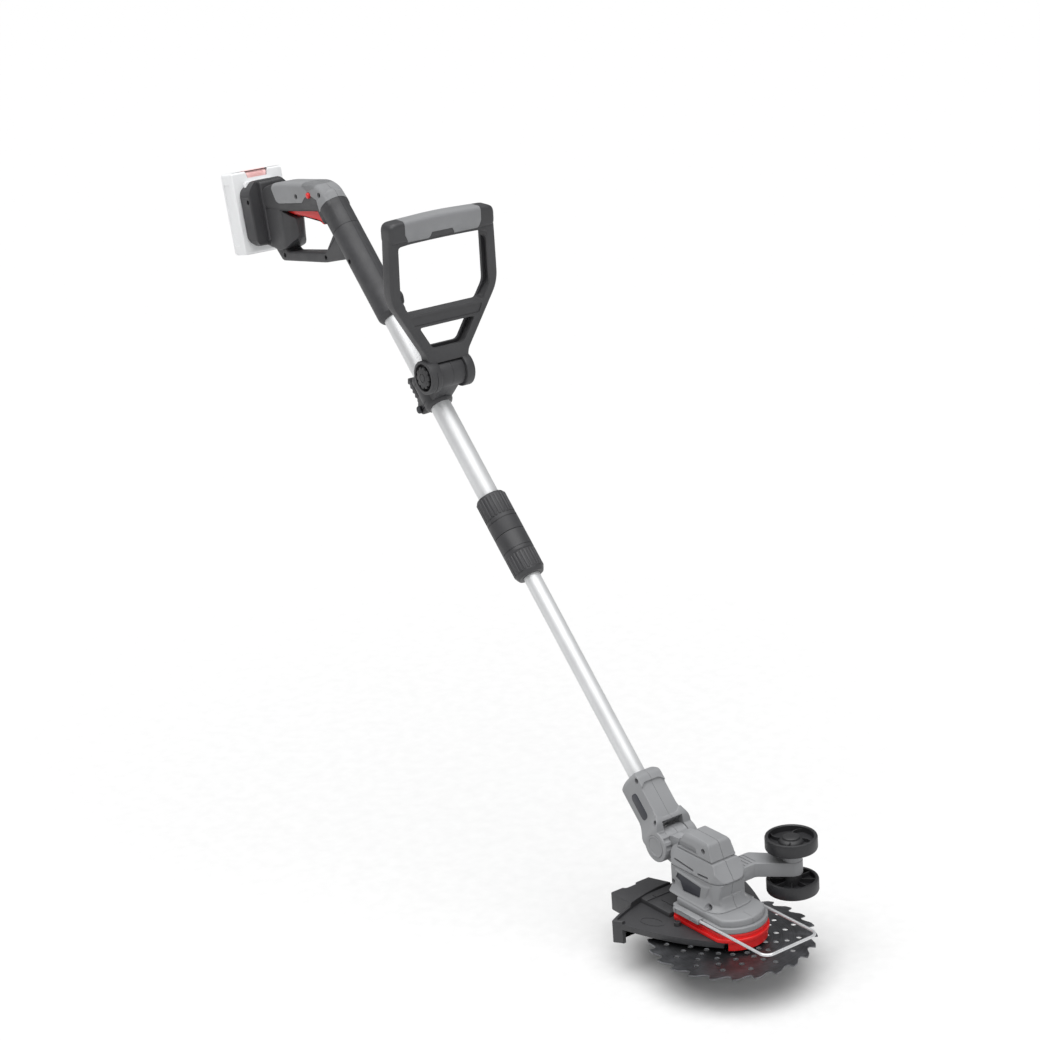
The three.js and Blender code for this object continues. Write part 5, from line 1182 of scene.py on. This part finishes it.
def power_switch():
    return join(box(-791, -758, -8, 8, 717, 727, 0.6), box(-786, -781, -3, 3, 713.5, 718, 0.5))


def lock_off_button():
    return side_prism(circle(LOCK_R, *LOCK_AT, 48), -18.6, 11.5, 1.4, 5)


# ---- battery ----
PACK_SPAN = (-52, 51.5)


def battery_case():
    plan = outline([(-46, -18, 3), (-46, 18, 3), (-39, 31, 3), (-26, 36.5, 4), (-GAP, 36.5, 2),
                    (-GAP, -36.5, 2), (-26, -36.5, 4), (-39, -31, 3)])
    body = prism(plan, *PACK_SPAN, 3.5, 5)
    neck = box(-2, 6, -19.5, 19.5, -25, 38, 0.4)
    rail = box(5.6, 10.4, -24.5, 24.5, -25, 38, 0.6)
    shape = front_prism(latch_face(1.2), -60, 20)
    pocket = common(join(box(-20, -1.3, -30, 30, 38.5, 60), box(-10, 5, -30, 30, 42.6, 60)), shape)
    band = cut(box(-60, -8, -60, 60, -1, 0), prism(outline(inset(plan, 0.7)), -60, 60))
    flutes = [box(-60, -44.8, y - 1.4, y + 1.4, -36, 36, 0.6) for y in (-10, -3.3, 3.3, 10)]
    labels = [box(-25, -10.5, a, b, -40, 38, 0.8) for a, b in ((-60, -35.6), (35.6, 60))]
    return on_pack(cut(join(body, neck, rail), pocket, band, *flutes, *labels))


def latch_face(clear):
    """The latch seen from the front: wide at the top, drawn in towards its foot."""
    return mirrored([(12.4 + clear, 38), (12.4 + clear, 41), (15.2 + clear, 51), (15.2 + clear, 60)])


def battery_latch():
    side = [(-19.6, 42, 0), (-19.6, 51.4, 2), (-6, 52.5, 3), (-1.7, 47, 2), (-1.7, 42, 0)]
    body = common(side_prism(outline(side), -20, 20, 0.8, 3), front_prism(latch_face(0), -30, 10))
    grooves = join(*[box(-30, 5, -10, 10, z, z + 0.6) for z in (43.6, 45.2, 46.8, 48.4, 50)])
    return on_pack(cut(body, cut(grooves, side_prism(outline(inset(side, 0.45)), -30, 30))))


def battery_terminals():
    prongs = [box(11.2, 12.4, y - 0.8, y + 0.8, -18, 10, 0.2) for y in (-9, -3, 3, 9)]
    return on_pack(join(box(12, 17, -14.6, 14.6, -23, 19, 0.5), *prongs))


def coiled_lead():
    span, turns, per_turn, r = (652, 800), 10, 12, 6.5
    steps = turns * per_turn
    points = [(0, 0, span[0] - 8), (1, 0, span[0] - 4)]
    for i in range(steps + 1):
        a = 2 * math.pi * i / per_turn
        points.append((r * math.cos(a), r * math.sin(a), span[0] + (span[1] - span[0]) * i / steps))
    points += [(1, 0, span[1] + 4), (0, 0, span[1] + 8), (0, 0, 880)]
    return on_shaft(swept(points, 1.6, 10, 3))


# ---- materials ----
def srgb(r, g, b):
    def one(v):
        v /= 255
        return v / 12.92 if v <= 0.04045 else ((v + 0.055) / 1.055) ** 2.4

    return (one(r), one(g), one(b), 1)


class Nodes:
    """A material's node tree with its principled shader, built one node at a time."""

    def __init__(self, name):
        self.material = bpy.data.materials.new(name)
        self.material.use_nodes = True
        self.tree = self.material.node_tree
        self.tree.nodes.clear()
        output = self.tree.nodes.new("ShaderNodeOutputMaterial")
        self.shader = self.tree.nodes.new("ShaderNodeBsdfPrincipled")
        self.link(self.shader.outputs[0], output.inputs["Surface"])

    def link(self, source, target):
        self.tree.links.new(source, target)

    def add(self, kind, settings=None, **inputs):
        node = self.tree.nodes.new("ShaderNode" + kind)
        for key, value in (settings or {}).items():
            setattr(node, key, value)
        for key, value in inputs.items():
            self.feed(value, node.inputs[int(key[1:]) if key[0] == "_" else key])
        return node

    def feed(self, value, socket):
        """Gives a socket another socket's value, or a fixed one."""
        if isinstance(value, bpy.types.NodeSocket):
            self.link(value, socket)
        else:
            socket.default_value = value

    def place(self):
        return self.add("TexCoord").outputs["Object"]

    def noise(self, where, scale, detail=3.0, roughness=0.5):
        node = self.add("TexNoise", Vector=where, Scale=scale, Detail=detail, Roughness=roughness)
        return node.outputs["Fac"]

    def ramp(self, value, low, high, to_low=0.0, to_high=1.0):
        node = self.add("MapRange", Value=value)
        for socket, number in zip(("From Min", "From Max", "To Min", "To Max"), (low, high, to_low, to_high)):
            node.inputs[socket].default_value = number
        return node.outputs[0]

    def mix(self, factor, a, b):
        node = self.add("Mix", {"data_type": "RGBA"})
        for socket, value in ((node.inputs[0], factor), (node.inputs[6], a), (node.inputs[7], b)):
            self.feed(value, socket)
        return node.outputs[2]

    def math(self, operation, a, b=0.0):
        node = self.add("Math", {"operation": operation})
        for socket, value in zip(node.inputs, (a, b)):
            self.feed(value, socket)
        return node.outputs[0]

    def worn(self, amount):
        """How far an edge is rubbed, from the surface's sharpness broken up by noise."""
        edge = self.ramp(self.add("NewGeometry").outputs["Pointiness"], 0.53, 0.6)
        patches = self.ramp(self.noise(self.place(), 90, 4), 0.4, 0.7)
        return self.math("MULTIPLY", self.math("MULTIPLY", edge, patches), amount)

    def finish(self, colour, rough, height, strength, distance):
        for name, value in (("Base Color", colour), ("Roughness", rough)):
            self.feed(value, self.shader.inputs[name])
        bump = self.add("Bump", Strength=strength, Distance=distance, Height=height)
        self.link(bump.outputs[0], self.shader.inputs["Normal"])
        return self.material


def tint(colour, by):
    return tuple(min(1, c * by) for c in colour[:3]) + (1,)


def plastic(name, colour, rough=0.5, grain=2600, bump=0.25, wear=0.35, spread=0.07, coat=0.0):
    """Moulded plastic: spark-eroded grain, slow colour drift, rubbed edges and a little dust in the dips."""
    n = Nodes(name)
    where = n.place()
    drift = n.ramp(n.noise(where, 14, 2), 0.3, 0.7)
    base = n.mix(drift, tint(colour, 1 - spread), tint(colour, 1 + spread))
    speck = n.ramp(n.noise(where, 1200, 2), 0.62, 0.75, 0, 0.25)
    base = n.mix(speck, base, tint(colour, 1.25))
    base = n.mix(n.worn(wear), base, tint(colour, 1.9))
    texture = n.noise(where, grain, 2, 0.6)
    smudges = n.ramp(n.noise(where, 35, 4), 0.35, 0.7, rough - 0.06, rough + 0.1)
    n.shader.inputs["Specular IOR Level"].default_value = 0.5
    n.shader.inputs["Coat Weight"].default_value = coat
    n.shader.inputs["Coat Roughness"].default_value = 0.25
    return n.finish(base, smudges, texture, bump, 0.00012)


def rubber(name, colour):
    """Soft-touch skin: fine dimples and a matt, slightly dusty surface."""
    n = Nodes(name)
    where = n.place()
    cells = n.add("TexVoronoi", {"feature": "F1"}, Vector=where, Scale=900.0).outputs["Distance"]
    dimples = n.ramp(cells, 0.05, 0.45)
    drift = n.ramp(n.noise(where, 20, 3), 0.3, 0.7)
    base = n.mix(drift, tint(colour, 0.93), tint(colour, 1.05))
    base = n.mix(n.worn(0.25), base, tint(colour, 1.4))
    rough = n.ramp(n.noise(where, 60, 4), 0.3, 0.7, 0.62, 0.78)
    n.shader.inputs["Sheen Weight"].default_value = 0.15
    return n.finish(base, rough, dimples, 0.35, 0.00012)


def metal(name, colour, rough=0.3, stretch=(1, 1, 1), scale=900.0, bump=0.15, metallic=1.0, tilt=0.0):
    """Brushed or drawn metal, with its marks drawn out along the stretched axis, after turning by tilt."""
    n = Nodes(name)
    where = n.place()
    if tilt:
        where = n.add("Mapping", Vector=where, Rotation=(0, tilt, 0)).outputs[0]
    if stretch != (1, 1, 1):
        where = n.add("Mapping", Vector=where, Scale=stretch).outputs[0]
    marks = n.noise(where, scale, 4, 0.6)
    drift = n.ramp(n.noise(n.place(), 25, 3), 0.3, 0.7)
    base = n.mix(drift, tint(colour, 0.94), tint(colour, 1.04))
    base = n.mix(n.ramp(marks, 0.3, 0.75, 0, 0.35), base, tint(colour, 0.78))
    roughness = n.ramp(marks, 0.3, 0.7, rough - 0.05, rough + 0.1)
    n.shader.inputs["Metallic"].default_value = metallic
    return n.finish(base, roughness, marks, bump, 0.00005)


def turned_metal(name, colour, rough, rings_per_mm=1.6, metallic=0.9):
    """Metal with turning rings about the blade's axis, which is the object's own Z axis."""
    n = Nodes(name)
    where = n.place()
    flat = n.add("VectorMath", {"operation": "MULTIPLY"}, _0=where, _1=(1, 1, 0)).outputs[0]
    radius = n.add("VectorMath", {"operation": "LENGTH"}, _0=flat).outputs["Value"]
    rings = n.add("TexNoise", {"noise_dimensions": "1D"}, W=n.math("MULTIPLY", radius, 1000 * rings_per_mm))
    fine = rings.outputs["Fac"]
    wide = n.add("TexNoise", {"noise_dimensions": "1D"}, W=n.math("MULTIPLY", radius, 160)).outputs["Fac"]
    base = n.mix(n.ramp(wide, 0.35, 0.65), tint(colour, 0.8), tint(colour, 1.25))
    base = n.mix(n.ramp(fine, 0.4, 0.7, 0, 0.4), base, tint(colour, 1.6))
    base = n.mix(n.worn(0.5), base, tint(colour, 3))
    stains = n.noise(where, 40, 5)
    roughness = n.ramp(stains, 0.3, 0.7, rough - 0.06, rough + 0.1)
    n.shader.inputs["Metallic"].default_value = metallic
    n.shader.inputs["Anisotropic"].default_value = 0.5
    return n.finish(base, roughness, fine, 0.35, 0.00008)


MATERIALS = {
    "grey_plastic": plastic("grey_plastic_look", srgb(135, 136, 138), 0.48),
    "soft_grip": rubber("soft_grip_look", srgb(131, 132, 134)),
    "black_plastic": plastic("black_plastic_look", srgb(56, 56, 58), 0.5, bump=0.4, wear=0.25),
    "dark_plastic": plastic("dark_plastic_look", srgb(38, 38, 40), 0.46, bump=0.35, wear=0.25),
    "red_plastic": plastic("red_plastic_look", srgb(218, 22, 22), 0.36, grain=1800, bump=0.12,
                           wear=0.15, coat=0.2),
    "shaft_tube": metal("shaft_tube_look", srgb(216, 217, 218), 0.42, (1, 1, 0.01), 2200.0, 0.06, 0.4,
                        tilt=-SHAFT_TILT),
    "steel": metal("steel_look", srgb(214, 215, 217), 0.3, scale=700.0, bump=0.04, metallic=0.6),
    "blade_steel": turned_metal("blade_steel_look", srgb(92, 93, 96), 0.34),
    "dark_steel": metal("dark_steel_look", srgb(70, 71, 74), 0.38),
    "brass": metal("brass_look", srgb(190, 154, 88), 0.3),
    "pale_pack": plastic("pale_pack_look", srgb(232, 233, 234), 0.45, wear=0.1, spread=0.03),
    "pale_latch": plastic("pale_latch_look", srgb(243, 196, 194), 0.45, wear=0.1, spread=0.03),
    "lead_rubber": rubber("lead_rubber_look", srgb(40, 40, 42)),
}
BADGE = plastic("badge_look", srgb(40, 42, 50), 0.4, grain=900, bump=0.04, wear=0.1)


# ---- pieces ----
SHARP = math.radians(33)


def piece(name, mesh, node):
    """Sets the mesh down in the CAD frame, riding and shown in the place of that CAD node."""
    mesh.transform(Matrix.Scale(MM, 4))
    for polygon in mesh.polygons:
        polygon.use_smooth = True
    mesh.set_sharp_from_angle(angle=SHARP)
    mesh.name = name
    slot = SLOTS[node]
    mesh.materials.clear()
    mesh.materials.append(BADGE if node.endswith("badge") else MATERIALS[slot])
    obj = bpy.data.objects.new(name, mesh)
    obj.location = BLADE_CENTRE
    bpy.context.scene.collection.objects.link(obj)
    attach(obj, frame["nodes"][node]["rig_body"])
    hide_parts(node)
    return obj


SLOTS = {s["node"]: s["material_slot"] for s in frame["record"]["subparts"]}
# each of these makes the CAD node of its own name
MAKERS = (
    upper_tube, lower_tube, guide_bush, tube_lock_body, collar_nut, coiled_lead, clamp_bolt,
    clamp_lever, handle_pivot_axle, d_handle_frame, d_handle_grip, handle_tilt_button, knuckle_badge,
    head_tilt_axle, head_tilt_button, head_badge, gearcase, red_base, blade_guard, motor_can,
    motor_rotor, pinion, spur_gear, arbor, bearing_upper, bearing_lower, blade, clamp_washer, blade_nut,
    wire_guard, wheel_arm, wheel_upper, wheel_lower, wheel_axle, rear_grip_cover, trigger, power_switch,
    lock_off_button, battery_case, battery_latch, battery_terminals,
)
for make in MAKERS:
    piece(make.__name__ + "_shape", make(), make.__name__)

HALVED = {"rear_handle": handle_whole, "clamp_half": clamp_whole, "head_housing": head_whole}
for name, make in HALVED.items():
    whole = make()
    piece(name + "_right_shape", right_half(whole.copy()), name + "_right")
    piece(name + "_left_shape", left_half(whole), name + "_left")
knuckle = knuckle_whole()
piece("knuckle_housing_right_shape", on_shaft(right_half(knuckle.copy())), "knuckle_housing_right")
piece("knuckle_housing_left_shape", on_shaft(left_half(knuckle)), "knuckle_housing_left")

for i, (x, z, y, length) in enumerate(HANDLE_SCREWS, 1):
    piece(f"handle_screw_{i}_shape", screw(x, z, y, length), f"handle_screw_{i}")
for i, (h, s) in enumerate(KNUCKLE_SCREWS, 1):
    made = on_shaft(screw(h, s, KNUCKLE_SCREW_HEAD, KNUCKLE_SCREW_L))
    piece(f"knuckle_screw_{i}_shape", made, f"knuckle_screw_{i}")
for i, (x, z, y, length) in enumerate(HEAD_SCREWS, 1):
    piece(f"head_screw_{i}_shape", screw(x, z, y, length), f"head_screw_{i}")


# ---- floor, light and camera ----
def floor_material():
    n = Nodes("floor_look")
    where = n.place()
    base = n.mix(n.ramp(n.noise(where, 60, 3), 0.3, 0.7), (0.72, 0.72, 0.72, 1), (0.75, 0.75, 0.75, 1))
    return n.finish(base, 0.8, n.noise(where, 300, 2), 0.03, 0.0002)


def studio():
    low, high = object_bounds()
    reach = 60.0
    bm = bmesh.new()
    for x, y in ((-reach, -reach), (reach, -reach), (reach, reach), (-reach, reach)):
        bm.verts.new((x, y, low[2] - FLOOR_DROP))
    bm.faces.new(bm.verts)
    mesh = bpy.data.meshes.new("floor")
    bm.to_mesh(mesh)
    bm.free()
    mesh.materials.append(floor_material())
    floor = bpy.data.objects.new("floor", mesh)
    bpy.context.scene.collection.objects.link(floor)
    floor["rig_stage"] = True

    world = bpy.data.worlds.new("studio")
    bpy.context.scene.world = world
    world.use_nodes = True
    background = world.node_tree.nodes["Background"]
    background.inputs["Color"].default_value = (1, 1, 1, 1)
    background.inputs["Strength"].default_value = WORLD_LIGHT
    middle = (Vector(low) + Vector(high)) / 2
    for name, place, spread, strength in LAMPS:
        data = bpy.data.lights.new(name, "SUN")
        data.energy = strength
        data.angle = math.radians(spread)
        lamp = bpy.data.objects.new(name, data)
        lamp.location = middle + Vector(place)
        lamp.rotation_euler = (middle - lamp.location).to_track_quat("-Z", "Y").to_euler()
        bpy.context.scene.collection.objects.link(lamp)


WORLD_LIGHT = 0.28
LAMPS = (  # name, direction it comes from, spread in degrees (soft, like a large box), strength
    ("key", (0.25, -0.45, 2.4), 75, 3.5),
    ("front", (2.4, 0.2, 1.1), 50, 0.3),
)

VIEW_AZIMUTH = 55.2016
VIEW_ELEVATION = 18.4286
VIEW_ROLL = -4.1104
VIEW_FROM = Vector((1813.778, -1499.631, 1273.524))  # from the blade's centre
LENS = 84.18
SENSOR = 36


def camera():
    data = bpy.data.cameras.new("camera")
    data.lens = LENS
    data.sensor_width = SENSOR
    data.clip_end = 100
    obj = bpy.data.objects.new("camera", data)
    a, e, roll = (math.radians(v) for v in (VIEW_AZIMUTH, VIEW_ELEVATION, VIEW_ROLL))
    back = Vector((math.sin(a) * math.cos(e), -math.cos(a) * math.cos(e), math.sin(e)))
    right = Vector((math.cos(a), math.sin(a), 0))
    up = back.cross(right)
    across = right * math.cos(roll) + up * math.sin(roll)
    upwards = up * math.cos(roll) - right * math.sin(roll)
    turn_to = Matrix((across, upwards, back)).transposed().to_4x4()
    obj.matrix_world = Matrix.Translation(BLADE_CENTRE + VIEW_FROM * MM) @ turn_to
    bpy.context.scene.collection.objects.link(obj)
    bpy.context.scene.camera = obj


studio()
camera()
bpy.context.scene.view_settings.view_transform = "Standard"
